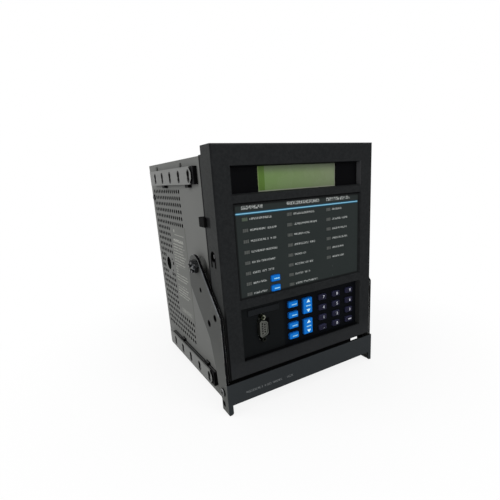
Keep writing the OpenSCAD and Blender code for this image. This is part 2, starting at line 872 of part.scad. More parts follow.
// Slotted nuts that keep the arms on their studs: a hexagon with a round, notched crown
module pivot_caps() {
  color([0.12, 0.12, 0.13]) at_front() both_sides() translate([arm_out_x + stud_gap, pivot_y, pivot_z])
    difference() {
      union() {
        side_slab(cap_t - cap_crown) circle(d = cap_d, $fn = 6);
        x_rod(cap_d * cos(30), cap_t);
      }
      translate([-cut, 0, 0]) x_rod(stud_tip_d, cap_t + 2 * cut);
      for (k = [0 : cap_slots / 2 - 1]) rotate([k * 360 / cap_slots + 90, 0, 0])
        translate([cap_t - cap_crown, -cap_d, -cap_slot_w / 2])
          cube([cap_crown + cut, 2 * cap_d, cap_slot_w]);
    }
}

// Rubber stop across the seam of bezel and chassis, where the raised arm comes to rest
module handle_stop() {
  color([0.05, 0.05, 0.05]) at_front() translate([0, bezel_d, stop_z]) {
    translate([side_x, 0, 0]) cube([bezel_wall + stop_proud, stop_back, stop_h]);
    translate([bezel_w / 2, -stop_front, 0]) cube([stop_proud, stop_front + fit, stop_h]);
  }
}

module handle_stop_right() {
  handle_stop();
}

module handle_stop_left() {
  mirror_x() handle_stop();
}

// Chassis
// Whether the vent at this row and column is left out for the label or the access hole
function vent_at(row, col) = [vent_front_y + col * vent_pitch, vent_top_z - row * vent_pitch];
function vent_open(row, col) =
  let (p = vent_at(row, col))
  (row < label_first_row || row > label_last_row || col >= vent_cols - label_cols)
  && norm(p - access_at) > access_d / 2 + access_margin
  && norm(p - access_screws[0]) > access_margin
  && norm(p - access_screws[1]) > access_margin
  && norm(p - rear_screw_at) > access_margin;

// Flat perforated side with a tongue that enters the bezel's skirt
module side_plate() {
  color([0.42, 0.43, 0.42]) at_front() translate([inner_x, 0, 0]) side_slab(sheet_t) difference() {
    union() {
      translate([bezel_d, sheet_t]) square([chassis_back - bezel_d, chassis_h - 2 * sheet_t]);
      translate([bezel_d - tongue_l, tongue_low]) square([tongue_l + cut, tongue_top - tongue_low]);
    }
    for (row = [0 : vent_rows - 1], col = [0 : vent_cols - 1]) if (vent_open(row, col))
      translate(vent_at(row, col)) circle(d = vent_d, $fn = vent_fn);
    translate(access_at) circle(d = access_d, $fn = bore_fn);
    for (p = access_screws) translate(p) circle(d = access_screw_d, $fn = fine_fn);
    translate([pivot_y, pivot_z]) circle(d = stud_tip_d + 2 * fit, $fn = bore_fn);
    translate(latch_at) circle(d = screw_d + 2 * fit, $fn = fine_fn);
    translate(rear_screw_at) circle(d = screw_d + 2 * fit, $fn = fine_fn);
    for (y = rivet_ys, z = [rivet_inset, chassis_h - rivet_inset]) translate([y, z])
      circle(d = rivet_d, $fn = fine_fn);
  }
}

module side_plate_right() {
  side_plate();
}

module side_plate_left() {
  mirror_x() side_plate();
}

// Folded sheet with two side flanges that the chassis sides are riveted to
module flanged_sheet() {
  translate([-side_x, bezel_d, 0]) cube([chassis_w, chassis_back - bezel_d, sheet_t]);
  both_sides() difference() {
    translate([inner_x - sheet_t, bezel_d, 0])
      cube([sheet_t, chassis_back - bezel_d - 2 * sheet_t, sheet_t + flange]);
    for (y = rivet_ys) translate([0, y, rivet_inset]) x_rod(rivet_d, side_x);
  }
}

// Roof with a front tongue that lies under the bezel's upper wall
module roof_plate() {
  color([0.42, 0.43, 0.42]) at_front() translate([0, 0, chassis_h]) mirror([0, 0, 1]) {
    flanged_sheet();
    translate([-inner_x, bezel_d - roof_tongue, 0]) cube([2 * inner_x, roof_tongue + cut, sheet_t]);
  }
}

// Floor with a front apron that closes the chassis below the bezel
module floor_pan() {
  apron_h = bezel_lift + bezel_wall + apron_lap;
  color([0.42, 0.43, 0.42]) at_front() {
    flanged_sheet();
    translate([-inner_x + sheet_t + fit, bezel_d, 0])
      cube([2 * (inner_x - sheet_t - fit), sheet_t, apron_h]);
  }
}

module plug_places() {
  for (i = [-1 : 1]) translate([0, 0, plug_mid_z + i * plug_pitch]) children();
}

module rear_panel() {
  color([0.42, 0.43, 0.42]) at_front() difference() {
    translate([-inner_x, chassis_back - sheet_t, sheet_t])
      cube([2 * inner_x, sheet_t, chassis_h - 2 * sheet_t]);
    plug_places() box_y(plug_w + 2 * fit, plug_h + 2 * fit, chassis_back - sheet_t - cut, chassis_back + cut);
  }
}

// Guide rails
// Steel strip with chamfered front corners and a row of keyhole slots
module rail_strip(z) {
  color(rail_tone) at_front() translate([rail_in_x, rail_front_y, z]) side_slab(rail_t) difference() {
    polygon([
      [0, rail_chamfer], [rail_chamfer, 0], [rail_l, 0], [rail_l, rail_h], [rail_chamfer, rail_h],
      [0, rail_h - rail_chamfer]]);
    for (k = [0 : 4]) translate([slot_first_y + k * slot_pitch, 0]) {
      translate([-slot_w / 2, slot_low]) square([slot_w, slot_tall]);
      translate([0, slot_hole_z]) circle(d = slot_hole_d, $fn = fine_fn);
    }
  }
}

module rail_upper_right() {
  rail_strip(rail_top_z);
}

module rail_lower_right() {
  rail_strip(rail_low_z);
}

module rail_upper_left() {
  mirror_x() rail_strip(rail_top_z);
}

module rail_lower_left() {
  mirror_x() rail_strip(rail_low_z);
}

// Black runner between a strip and the chassis side; two tabs stand past the strip's edge at tab_z
module runner(z, tab_z) {
  translate([side_x, rail_front_y - runner_front, 0]) {
    translate([0, 0, z]) cube([rail_gap, rail_l + runner_front - runner_short, rail_h]);
    for (k = [0, 1]) translate([0, runner_tab_first + k * runner_tab_pitch, tab_z - runner_tab_h])
      cube([rail_gap, runner_tab_l, 2 * runner_tab_h]);
  }
}

module rail_runners() {
  color([0.06, 0.06, 0.06]) at_front() both_sides() {
    runner(rail_low_z, rail_low_z + rail_h);
    runner(rail_top_z, rail_top_z);
  }
}

// Pan-head screws: one at the rear of each side and one in each skirt of the bezel
module pan_screw(head_d, grip) {
  x_rod(head_d, screw_head_t);
  translate([-grip, 0, 0]) x_rod(screw_d, grip + fit);
}

module chassis_screws() {
  color([0.6, 0.6, 0.6]) at_front() both_sides() {
    translate([side_x, rear_screw_at[0], rear_screw_at[1]]) pan_screw(screw_head_d, rear_screw_l);
    translate([bezel_w / 2 - latch_depth, latch_at[0], latch_at[1]])
      pan_screw(latch_head_d, bezel_wall - latch_depth + sheet_t + latch_screw_tip);
  }
}

// Rivets through the sides into the flanges of the roof and the floor
module roof_rivets() {
  rows = [rivet_inset, chassis_h - rivet_inset];
  color([0.4, 0.4, 0.4]) at_front() both_sides() for (y = rivet_ys, z = rows)
    translate([side_x, y, z]) {
      x_rod(rivet_head_d, rivet_head_t);
      translate([-2 * sheet_t - rivet_head_t, 0, 0]) x_rod(rivet_d, 2 * sheet_t + 2 * rivet_head_t);
    }
}

// Rear plugs
// Moulded plug bodies, each with a flange that bears on the rear panel
module rear_plugs() {
  color([0.08, 0.08, 0.08]) at_front() plug_places() {
    box_y(plug_w, plug_h, plug_front_y, plug_front_y + plug_depth);
    box_y(plug_w + 2 * plug_flange, plug_h + 2 * plug_flange, chassis_back, chassis_back + plug_flange_t);
  }
}

module plug_blades() {
  color([0.7, 0.68, 0.6]) at_front() plug_places() for (k = [0 : blade_count - 1])
    translate([(k - (blade_count - 1) / 2) * blade_pitch, 0, 0])
      box_y(blade_t, blade_w, total_d - blade_l, total_d);
}

// Inner boards
// Upright board that stands on the chassis floor and plugs into the rear plugs
module inner_board(x) {
  color([0.1, 0.3, 0.18]) at_front() translate([x, inner_board_front, sheet_t])
    cube([inner_board_t, plug_front_y - inner_board_front, inner_board_h]);
}

module main_board() {
  inner_board(main_board_x);
}

module power_board() {
  inner_board(power_board_x);
}

// Sealed output relays on the main board
module output_relays() {
  color([0.15, 0.15, 0.16]) at_front() for (i = [0 : 1], k = [0 : 3])
    translate([main_board_x + inner_board_t, inner_board_front + relay_first_y + i * relay_pitch_y,
               relay_first_z + k * relay_pitch_z])
      cube([relay_w, relay_d, relay_h]);
}

// Wound current transformers on the power board
module current_transformers() {
  first_y = inner_board_front + ct_first_y;
  color([0.2, 0.18, 0.15]) at_front() for (i = [0 : 1], k = [0 : 2])
    translate([power_board_x - ct_w, first_y + i * ct_pitch, ct_first_z + k * ct_pitch])
      difference() {
        cube([ct_w, ct_d, ct_d]);
        translate([-cut, ct_d / 2, ct_d / 2]) x_rod(ct_bore, ct_w + 2 * cut);
      }
}

front_bezel();
display_mask();
lcd_glass();
lcd_frame();
status_overlay();
light_guide_left();
light_guide_middle();
light_guide_right();
keypad_plate();
front_board();
reset_key();
next_key();
blue_key(0);  // command_key_1
blue_key(1);  // command_key_2
blue_key(2);  // command_key_3
blue_key(3);  // command_key_4
message_rocker();
value_rocker();
digit_key(0, 0);  // key_7
digit_key(1, 0);  // key_8
digit_key(2, 0);  // key_9
digit_key(0, 1);  // key_4
digit_key(1, 1);  // key_5
digit_key(2, 1);  // key_6
digit_key(0, 2);  // key_1
digit_key(1, 2);  // key_2
digit_key(2, 2);  // key_3
digit_key(0, 3);  // key_point
digit_key(1, 3);  // key_0
digit_key(2, 3);  // key_help
port_shell();
port_insulator();
port_jack_screws();
port_cover_plate();
handle_bar();
handle_arm_left();
handle_arm_right();
handle_screws();
pivot_studs();
pivot_caps();
handle_stop_left();
handle_stop_right();
side_plate_left();
side_plate_right();
roof_plate();
floor_pan();
rear_panel();
rail_upper_left();
rail_lower_left();
rail_upper_right();
rail_lower_right();
rail_runners();
chassis_screws();
roof_rivets();
rear_plugs();
plug_blades();
main_board();
output_relays();
power_board();
current_transformers();
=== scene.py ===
import math
import bpy
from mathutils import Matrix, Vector


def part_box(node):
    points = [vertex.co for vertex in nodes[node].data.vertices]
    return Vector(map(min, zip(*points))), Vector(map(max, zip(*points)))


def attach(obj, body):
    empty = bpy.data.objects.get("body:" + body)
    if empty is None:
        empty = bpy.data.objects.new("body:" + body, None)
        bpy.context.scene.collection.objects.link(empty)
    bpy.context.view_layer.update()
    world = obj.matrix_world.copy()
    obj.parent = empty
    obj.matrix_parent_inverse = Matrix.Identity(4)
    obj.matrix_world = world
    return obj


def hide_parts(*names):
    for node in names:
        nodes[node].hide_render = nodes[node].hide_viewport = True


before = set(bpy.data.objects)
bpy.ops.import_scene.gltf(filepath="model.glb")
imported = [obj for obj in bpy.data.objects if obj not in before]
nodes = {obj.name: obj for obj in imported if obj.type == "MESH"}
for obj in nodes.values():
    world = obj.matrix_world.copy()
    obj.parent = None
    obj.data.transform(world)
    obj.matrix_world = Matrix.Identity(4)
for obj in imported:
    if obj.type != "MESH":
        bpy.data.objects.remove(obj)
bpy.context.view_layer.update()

mm = 0.001


# Chassis: sides, roof, floor and rear panel, folded from steel sheet, riveted along their flanges and
# sprayed with a satin dark grey paint. The punched edges are black with painted shade, as are the rims of the
# vent holes and the sheet behind the bezel, and the left side has a paper label.
class Tone:
    """A value in a material's node tree, with maths on it written as Python."""

    def __init__(self, tree, socket=None):
        self.tree = tree
        self.socket = socket

    def node(self, kind, settings=None, sockets=None, out=0):
        made = self.tree.nodes.new(kind)
        for name, value in (settings or {}).items():
            if name == "stops":
                self.set_stops(made.color_ramp, value)
            else:
                setattr(made, name, value)
        for name, value in (sockets or {}).items():
            if isinstance(value, Tone):
                self.tree.links.new(value.socket, made.inputs[name])
            else:
                made.inputs[name].default_value = value
        return Tone(self.tree, made.outputs[out])

    def set_stops(self, ramp, stops):
        ramp.interpolation = "CONSTANT"
        while len(ramp.elements) < len(stops):
            ramp.elements.new(1.0)
        for stop, (place, colour) in zip(ramp.elements, stops):
            stop.position = place
            stop.color = colour

    def maths(self, operation, *values):
        return self.node("ShaderNodeMath", {"operation": operation}, dict(enumerate(values)))

    def rise(self, low, high):
        """0 up to low and 1 from high on, with a soft step between; it falls where low is the greater."""
        return self.node("ShaderNodeMapRange", {"interpolation_type": "SMOOTHSTEP"}, {
            "Value": self, "From Min": low, "From Max": high})

    def inside(self, low, high, soft):
        """1 between low and high, with soft ends."""
        return self.rise(low - soft, low + soft) * self.rise(high + soft, high - soft)

    def either(self, other):
        """The greater of two values."""
        return self.maths("MAXIMUM", self, other)

    def __add__(self, other):
        return self.maths("ADD", self, other)

    def __sub__(self, other):
        return self.maths("SUBTRACT", self, other)

    def __rsub__(self, other):
        return self.maths("SUBTRACT", other, self)

    def __mul__(self, other):
        return self.maths("MULTIPLY", self, other)

    def __truediv__(self, other):
        return self.maths("DIVIDE", self, other)

    def __lt__(self, other):
        return self.maths("LESS_THAN", self, other)

    def __gt__(self, other):
        return self.maths("GREATER_THAN", self, other)

    def __abs__(self):
        return self.maths("ABSOLUTE", self)

    __radd__ = __add__
    __rmul__ = __mul__


def start_finish(name, specular, metallic=0.0):
    """A new material with its shader's constants set: the material, its tones and its shader."""
    material = bpy.data.materials.new(name)
    material.use_nodes = True
    shader = material.node_tree.nodes["Principled BSDF"]
    shader.inputs["Specular IOR Level"].default_value = specular
    shader.inputs["Metallic"].default_value = metallic
    return material, Tone(material.node_tree), shader


def split(tone, vector):
    """The X, Y and Z of a vector."""
    return [tone.node("ShaderNodeSeparateXYZ", {}, {"Vector": vector}, axis) for axis in ("X", "Y", "Z")]


def place_mm(tone):
    """Where a point is on the part, as x, y and z in millimetres."""
    return [value * 1000.0 for value in split(tone, tone.node("ShaderNodeTexCoord", out="Object"))]


def box_mm(name):
    """The low and the high corner of a CAD node in millimetres."""
    return [corner * 1000.0 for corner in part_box(name)]


def lean(tone):
    """Which way a face looks, as X, Y and Z from -1 to 1."""
    return split(tone, tone.node("ShaderNodeNewGeometry", out="True Normal"))


def facing(tone):
    """How much a face looks along X, Y and Z either way, each from 0 to 1."""
    return [abs(value) for value in lean(tone)]


def noise(tone, scale, detail=2.0, roughness=0.5):
    """A cloudy value of about 0.5, with scale in patches per metre."""
    at = tone.node("ShaderNodeTexCoord", out="Object")
    return tone.node("ShaderNodeTexNoise", {}, {
        "Vector": at, "Scale": scale, "Detail": detail, "Roughness": roughness})


def flat_noise(tone, across, down):
    """A cloudy value of about 0.5 from two coordinates."""
    at = tone.node("ShaderNodeCombineXYZ", {}, {"X": across, "Y": down})
    return tone.node("ShaderNodeTexNoise", {"noise_dimensions": "2D"}, {
        "Vector": at, "Scale": 1.0, "Detail": 0.0})


def mix(tone, factor, first, second):
    """A colour between two colours."""
    return tone.node("ShaderNodeMix", {"data_type": "RGBA"}, {0: factor, 6: first, 7: second}, 2)


def bump(tone, height, strength, depth):
    """A normal that follows a height, with the depth in metres."""
    return tone.node("ShaderNodeBump", {}, {
        "Height": height, "Strength": strength, "Distance": depth}, "Normal")


def disc(across, up, radius, soft=0.3):
    """1 inside a circle, from the distances to its centre along two axes."""
    return (across * across + up * up).rise((radius + soft) ** 2, (radius - soft) ** 2)


def apply_finish(tone, shader, colour, roughness, normal=None):
    tone.tree.links.new(colour.socket, shader.inputs["Base Color"])
    tone.tree.links.new(roughness.socket, shader.inputs["Roughness"])
    if normal:
        tone.tree.links.new(normal.socket, shader.inputs["Normal"])


def dress(material, *names):
    for name in names:
        for slot in nodes[name].material_slots:
            slot.material = material


def small_print(tone, along, down, height, length, row=0.0):
    """A line of broken strokes in groups: along from its start, down from its top."""
    groups = flat_noise(tone, along * 0.34, row * 7.3 + 3.0).rise(0.22, 0.28)
    strokes = flat_noise(tone, along * 1.1, down * (1.6 / height) + row * 5.9 + 40.0).rise(0.4, 0.58)
    return groups * strokes * along.inside(0.0, length, 0.3) * down.inside(0.0, height, 0.2)


def paper_label(tone, colour):
    """A thin label on the left side: a faint field with a ruled edge, a heading and lines of strokes."""
    y, z = place_mm(tone)[1:]
    back = y - bezel_front
    label_front = 106.0
    label_rear = 163.0
    label_foot = 62.0
    label_top = 192.0
    tall = z.inside(label_foot, label_top, 0.4)
    field = back.inside(label_front, label_rear, 0.4) * tall
    edge = back.inside(label_front - 1.4, label_front + 0.6, 0.4) * tall
    colour = mix(tone, field * 0.2, colour, (0.095, 0.097, 0.086, 1))
    colour = mix(tone, edge * 0.6, colour, (0.05, 0.05, 0.046, 1))
    first_line = 168.0
    last_line = 94.0
    pitch = 3.7
    along = label_rear - 5.0 - back
    row = tone.maths("FLOOR", (first_line - z) / pitch)
    down = (first_line - z) - row * pitch
    seed = tone.node("ShaderNodeTexWhiteNoise", {"noise_dimensions": "1D"}, {"W": row})
    short = z.inside(128.5, 138.0, 0.2)
    blank = z.inside(112.0, 117.0, 0.2).either(z < last_line)
    length = 44.0 - seed * 9.0 - short * 30.0
    lines = small_print(tone, along, down, 1.6, length, row) * (1.0 - blank) * (z < first_line)
    heading = small_print(tone, along - 3.0, 174.2 - z, 3.6, 38.0)
    rule = back.inside(113.0, 148.0, 0.3) * z.inside(179.6, 180.5, 0.2)
    stamp = small_print(tone, along - 6.0, 79.5 - z, 5.6, 38.0, 3.0)
    dot = back.inside(147.5, 150.5, 0.5) * z.inside(183.0, 186.5, 0.5)
    ink = (lines * 0.8).either(heading * 0.9).either(rule * 0.5).either(stamp * 0.4).either(dot * 0.8)
    return mix(tone, ink, colour, (0.35, 0.355, 0.325, 1))


def seam_shadow(tone, colour):
    """Black where the sheet goes in behind the bezel."""
    y = place_mm(tone)[1]
    return mix(tone, y.rise(bezel_back + 3.5, bezel_back + 1.9), colour, (0.002, 0.0021, 0.0023, 1))


def vent_rims(tone, colour):
    """Painted shade, black round the vent holes of a side: a grid that stops at the label and at the side's
    other holes.
    """
    y, z = place_mm(tone)[1:]
    pitch = 8.0
    first_y = -8.0
    top_z = 234.0
    columns = 14
    rows = 25
    column = tone.maths("ROUND", (y - first_y) / pitch)
    row = tone.maths("ROUND", (top_z - z) / pitch)
    vent_y = column * pitch + first_y
    vent_z = top_z - row * pitch
    on_grid = (abs(column - (columns - 1) / 2) < columns / 2) * (abs(row - (rows - 1) / 2) < rows / 2)
    there = on_grid * (column > 6.5).either(abs(row - 13.0) > 7.5)
    other_holes = ((68.0, 135.6, 15.0), (52.0, 127.6, 6.0), (52.0, 143.6, 6.0), (*rear_screw, 6.0))
    for hole_y, hole_z, clear in other_holes:
        off_y = vent_y - hole_y
        off_z = vent_z - hole_z
        there = there * (off_y * off_y + off_z * off_z > clear * clear)
    # Painted shade round each vent hole, a little wider than the hole.
    rims = there * disc(y - vent_y, z - vent_z, 2.58, 0.175)
    return mix(tone, rims * 0.85, colour, (0.006, 0.006, 0.0062, 1))


# Noise for scuffed wear, and for where the painted highlights fall on the corners.
def scuffs(tone):
    return noise(tone, 90.0, 6.0, 0.7)


def cut_edges(tone, colour, black=(0.003, 0.003, 0.0032, 1)):
    """Painted shade black on what doesn't look sideways, and a painted highlight with bare steel in places
    along the corners.
    """
    sideways = facing(tone)[0]
    glint_and_wear = sideways.inside(0.3, 0.96, 0.02) * scuffs(tone).rise(0.42, 0.55)
    # Painted shade: black on the faces that don't look sideways.
    colour = mix(tone, sideways.rise(0.36, 0.3), colour, black)
    # Painted highlight, with bare steel: pale in places on the rounded corners.
    return mix(tone, glint_and_wear * 0.8, colour, (0.3, 0.31, 0.31, 1))


def sheet_paint(name, dark, pale, *layers):
    """Satin paint on sheet steel with rubbed patches, and over it each layer in turn."""
    material, tone, shader = start_finish(name, specular=0.03)
    cloud = noise(tone, 14.0, 4.0)
    grain = noise(tone, 2600.0, 2.0)
    peel = noise(tone, 900.0, 2.0)
    rubbed = scuffs(tone).rise(0.6, 0.8)
    colour = mix(tone, cloud * 0.7 + grain * 0.3, dark, pale)
    colour = mix(tone, rubbed * 0.2, colour, (0.25, 0.25, 0.24, 1))
    for layer in layers:
        colour = layer(tone, colour)
    apply_finish(tone, shader, colour, 0.46 + cloud * 0.12 - rubbed * 0.1,
                 bump(tone, peel * 0.7 + grain * 0.3, 0.2, 0.0002))
    return material


bezel_front = box_mm("front_bezel")[0].y
bezel_back = box_mm("front_bezel")[1].y
rear_screw = (99.4, 225.6)
chassis_grey = ((0.106, 0.1085, 0.104, 1), (0.136, 0.1385, 0.1335, 1))
dress(sheet_paint("chassis_paint", *chassis_grey), "roof_plate", "rear_panel")
dress(sheet_paint("apron_paint", *chassis_grey, seam_shadow), "floor_pan")
dress(sheet_paint("side_paint", *chassis_grey, seam_shadow, vent_rims, cut_edges), "side_plate_right")
dress(sheet_paint("label_side_paint", *chassis_grey, paper_label, seam_shadow, vent_rims, cut_edges),
      "side_plate_left")


# Guide rails: punched steel strips in a paler paint, streaked where they slide, each on a black moulded
# runner along the chassis side.
def rail_paint():
    """Paint streaked along the strip, with painted shade black on the punched edges and round each slot's two
    bores.
    """
    material, tone, shader = start_finish("rail_paint", specular=0.03)
    x, y, z = place_mm(tone)
    streak = tone.node("ShaderNodeTexNoise", {}, {
        "Vector": tone.node("ShaderNodeCombineXYZ", {}, {"X": x * 0.8, "Y": y * 0.02, "Z": z * 0.8}),
        "Scale": 1.0, "Detail": 3.0})
    grain = noise(tone, 2600.0, 2.0)
    colour = mix(tone, streak * 0.8 + grain * 0.2, (0.142, 0.1445, 0.14, 1), (0.18, 0.1825, 0.178, 1))
    lower_foot = box_mm("rail_lower_left")[0].z
    upper_foot = box_mm("rail_upper_left")[0].z
    level = z - lower_foot - (z > 130.0) * (upper_foot - lower_foot)
    # Painted shade: black on the strip's faces that don't look sideways.
    edge_shade = facing(tone)[0].rise(0.36, 0.3) * level.inside(1.0, 17.0, 0.2)
    colour = mix(tone, edge_shade, colour, (0.003, 0.003, 0.0032, 1))
    slot_pitch = 31.2
    first_slot = bezel_front + 58.5
    along = (tone.maths("FRACT", (y - first_slot) / slot_pitch + 0.5) - 0.5) * slot_pitch
    # Painted shade round each slot's two bores, wider than the bores.
    for height, radius in ((11.0, 4.1), (5.4, 3.8)):
        colour = mix(tone, disc(along, level - height, radius) * 0.92, colour, (0.004, 0.004, 0.0042, 1))
    apply_finish(tone, shader, colour, 0.38 + streak * 0.15, bump(tone, grain, 0.2, 0.0002))
    return material


def runner_moulding():
    """Black slide plastic, rubbed grey in a strip along its top."""
    material, tone, shader = start_finish("runner_black", specular=0.03)
    x = place_mm(tone)[0]
    grain = noise(tone, 1400.0, 3.0, 0.6)
    colour = mix(tone, grain, (0.003, 0.003, 0.0033, 1), (0.007, 0.007, 0.0074, 1))
    rubbed = facing(tone)[2].rise(0.7, 0.9) * abs(x).inside(98.2, 100.0, 0.3)
    colour = mix(tone, rubbed * 0.8, colour, (0.075, 0.076, 0.074, 1))
    apply_finish(tone, shader, colour, 0.44 + grain * 0.12, bump(tone, grain, 0.35, 0.0002))
    return material


dress(rail_paint(), "rail_upper_left", "rail_lower_left", "rail_upper_right", "rail_lower_right")
dress(runner_moulding(), "rail_runners")


# Circuit boards, sealed relays and current transformers inside the chassis: green solder mask with faint
# copper tracks, black cases, and varnished laminations.
def board_green():
    material, tone, shader = start_finish("board_green", specular=0.3)
    x, y, z = place_mm(tone)
    tracks = tone.node("ShaderNodeTexBrick", {}, {
        "Vector": tone.node("ShaderNodeCombineXYZ", {}, {"X": x + y, "Y": z}), "Scale": 0.2,
        "Color1": (0.02, 0.1, 0.05, 1), "Color2": (0.025, 0.12, 0.06, 1), "Mortar": (0.05, 0.17, 0.08, 1)})
    cloud = noise(tone, 40.0)
    colour = mix(tone, cloud * 0.4, tracks, (0.015, 0.07, 0.04, 1))
    apply_finish(tone, shader, colour, 0.3 + cloud * 0.2)
    return material


def moulding(name, dark, pale, roughness, grain_scale, grain_depth, specular):
    """Moulded plastic with a spark-eroded grain and a faint cloudiness."""
    material, tone, shader = start_finish(name, specular)
    cloud = noise(tone, 20.0, 3.0)
    grain = noise(tone, grain_scale, 3.0, 0.6)
    colour = mix(tone, cloud * 0.6 + grain * 0.4, dark, pale)
    apply_finish(tone, shader, colour, roughness - 0.06 + grain * 0.12, bump(tone, grain, 0.35, grain_depth))
    return material


def laminations():
    material, tone, shader = start_finish("varnished_laminations", specular=0.4)
    sheets_per_mm = 2.0
    layer = tone.maths("FRACT", place_mm(tone)[2] * sheets_per_mm)
    cloud = noise(tone, 60.0, 3.0)
    colour = mix(tone, layer * 0.5 + cloud * 0.5, (0.03, 0.022, 0.016, 1), (0.09, 0.07, 0.05, 1))
    apply_finish(tone, shader, colour, 0.35 + cloud * 0.2, bump(tone, layer, 0.3, 0.0002))
    return material


relay_black = moulding("relay_black", (0.012, 0.012, 0.013, 1), (0.02, 0.02, 0.021, 1),
                       0.42, 900.0, 0.0001, 0.4)
dress(board_green(), "front_board", "main_board", "power_board")
dress(relay_black, "output_relays")
dress(laminations(), "current_transformers")


# Rear plugs: black glass-filled mouldings through the rear panel, with tinned brass blades.
# The mouldings' edges are rounded by the tool.
def bright_metal(name, dark, pale, roughness, scale):
    """Plated or tinned metal with fine scratches and slightly cloudy plating."""
    material, tone, shader = start_finish(name, specular=0.5, metallic=1.0)
    cloud = noise(tone, scale, 4.0)
    scratch = noise(tone, scale * 30.0, 2.0)
    colour = mix(tone, cloud * 0.7 + scratch * 0.3, dark, pale)
    apply_finish(tone, shader, colour, roughness - 0.08 + cloud * 0.16, bump(tone, scratch, 0.15, 0.0001))
    return material


def soften_edges(name, width, segments=2):
    """Rounds a CAD node's sharp edges, as tooling does."""
    weld = nodes[name].modifiers.new("weld", "WELD")
    weld.merge_threshold = 0.002 * mm
    flat = nodes[name].modifiers.new("flat", "DECIMATE")
    flat.decimate_type = "DISSOLVE"
    flat.angle_limit = math.radians(1.0)
    round_off = nodes[name].modifiers.new("round", "BEVEL")
    round_off.width = width
    round_off.segments = segments
    round_off.limit_method = "ANGLE"
    round_off.angle_limit = math.radians(28.0)
    round_off.harden_normals = True


plug_black = moulding("plug_black", (0.01, 0.01, 0.011, 1), (0.02, 0.02, 0.02, 1), 0.55, 1600.0, 0.0002, 0.25)
tinned_brass = bright_metal("tinned_brass", (0.42, 0.38, 0.28, 1), (0.62, 0.57, 0.44, 1), 0.32, 120.0)
dress(plug_black, "rear_plugs")
dress(tinned_brass, "plug_blades")
soften_edges("rear_plugs", 0.6 * mm)


# Front bezel: one black moulding with a fine grain, three bevelled windows, and side skirts painted paler as
# painted light and darker low down as painted shade of the arms. Painted shade lies in its latch recesses,
# along its ledges and at its seam with the chassis, and a painted highlight on one window reveal.
def window_reveals(tone, colour):
    """The sloping sides of the windows: a painted highlight on the reveal beside the display, and painted
    shade black under each top, on reveals that look right and on each ledge.
    """
    x, y, z = place_mm(tone)
    lean_x, lean_y, lean_z = lean(tone)
    front = (z > 44.0) * (abs(x) < 96.0)
    display_foot = box_mm("display_mask")[0].z
    # Painted highlight: the display window's reveal that looks left is paler.
    pale = lean_x.rise(-0.6, -0.9) * x.inside(50.0, 92.0, 0.5) * (z > display_foot)
    colour = mix(tone, pale * 0.85, colour, (0.08, 0.081, 0.086, 1))
    # Painted shade: black on reveals that look down, and on those that look right.
    shaded = lean_z.rise(-0.25, -0.4).either(lean_x.rise(0.25, 0.4) * (x < 60.0))
    colour = mix(tone, shaded * front, colour, (0.003, 0.0031, 0.0034, 1))
    # Painted shade: black on the ledges of the lower windows, behind their lip.
    ledge_shade = lean_z.rise(0.25, 0.4) * (z < 135.0) * front
    behind_lip = y.rise(bezel_front + 1.2, bezel_front + 2.0)
    return mix(tone, ledge_shade * behind_lip, colour, (0.002, 0.0021, 0.0024, 1))


def latch_recess(tone, colour):
    """Painted shade: black in the recess of each skirt, and round its bore and its two legs."""
    x, y, z = place_mm(tone)
    on_skirt = abs(x) > 96.0
    ahead = abs(y - latch[0])
    up = z - latch[1]
    sunk = (abs(x) < 99.6).either(facing(tone)[0].rise(0.6, 0.4)) * on_skirt
    # Painted shade in the recess.
    recess_shade = sunk * ahead.rise(6.2, 5.8) * up.inside(-12.0, 6.0, 0.2)
    bore = disc(ahead, up, 5.74, 0.26)
    legs = ahead.inside(2.4, 6.4, 0.3) * up.inside(-11.5, 0.0, 0.3)
    # Painted shade round the bore and along the two legs.
    rims = bore.either(legs) * on_skirt
    return mix(tone, recess_shade.either(rims * 0.9), colour, (0.002, 0.002, 0.0022, 1))


def rim_shade(tone, colour):
    """Painted shade: a dark line along the skirts' rear edge, a painted shadow ahead of each stop, and black
    on the outer chamfers, fully low down beside the arms and along the bottom, faintly higher up.
    """
    x, y, z = place_mm(tone)
    sideways, frontal = facing(tone)[:2]
    black = (0.003, 0.0031, 0.0034, 1)
    stop_low, stop_high = box_mm("handle_stop_left")
    # Painted shadow of the stop on the skirt ahead of it.
    stop_shadow = y.inside(bezel_back - 14.0, bezel_back - 5.0, 1.5) * z.inside(stop_low.z, stop_high.z, 1.0)
    # Painted shade along the skirt's rear edge.
    seam = y.rise(bezel_back - 3.4, bezel_back - 2.6)
    outside = sideways.rise(0.8, 0.97) * (abs(x) > 99.0)
    colour = mix(tone, seam.either(stop_shadow * 0.85) * outside, colour, black)
    # Painted shade of the gap beside the arms, on the outer chamfers.
    arm_shade = (abs(x) > 99.4) * (z.rise(122.0, 108.0) * 0.7 + 0.3)
    chamfer = arm_shade.either(z < 41.6) * frontal.inside(0.3, 0.95, 0.03)
    return mix(tone, chamfer, colour, black)


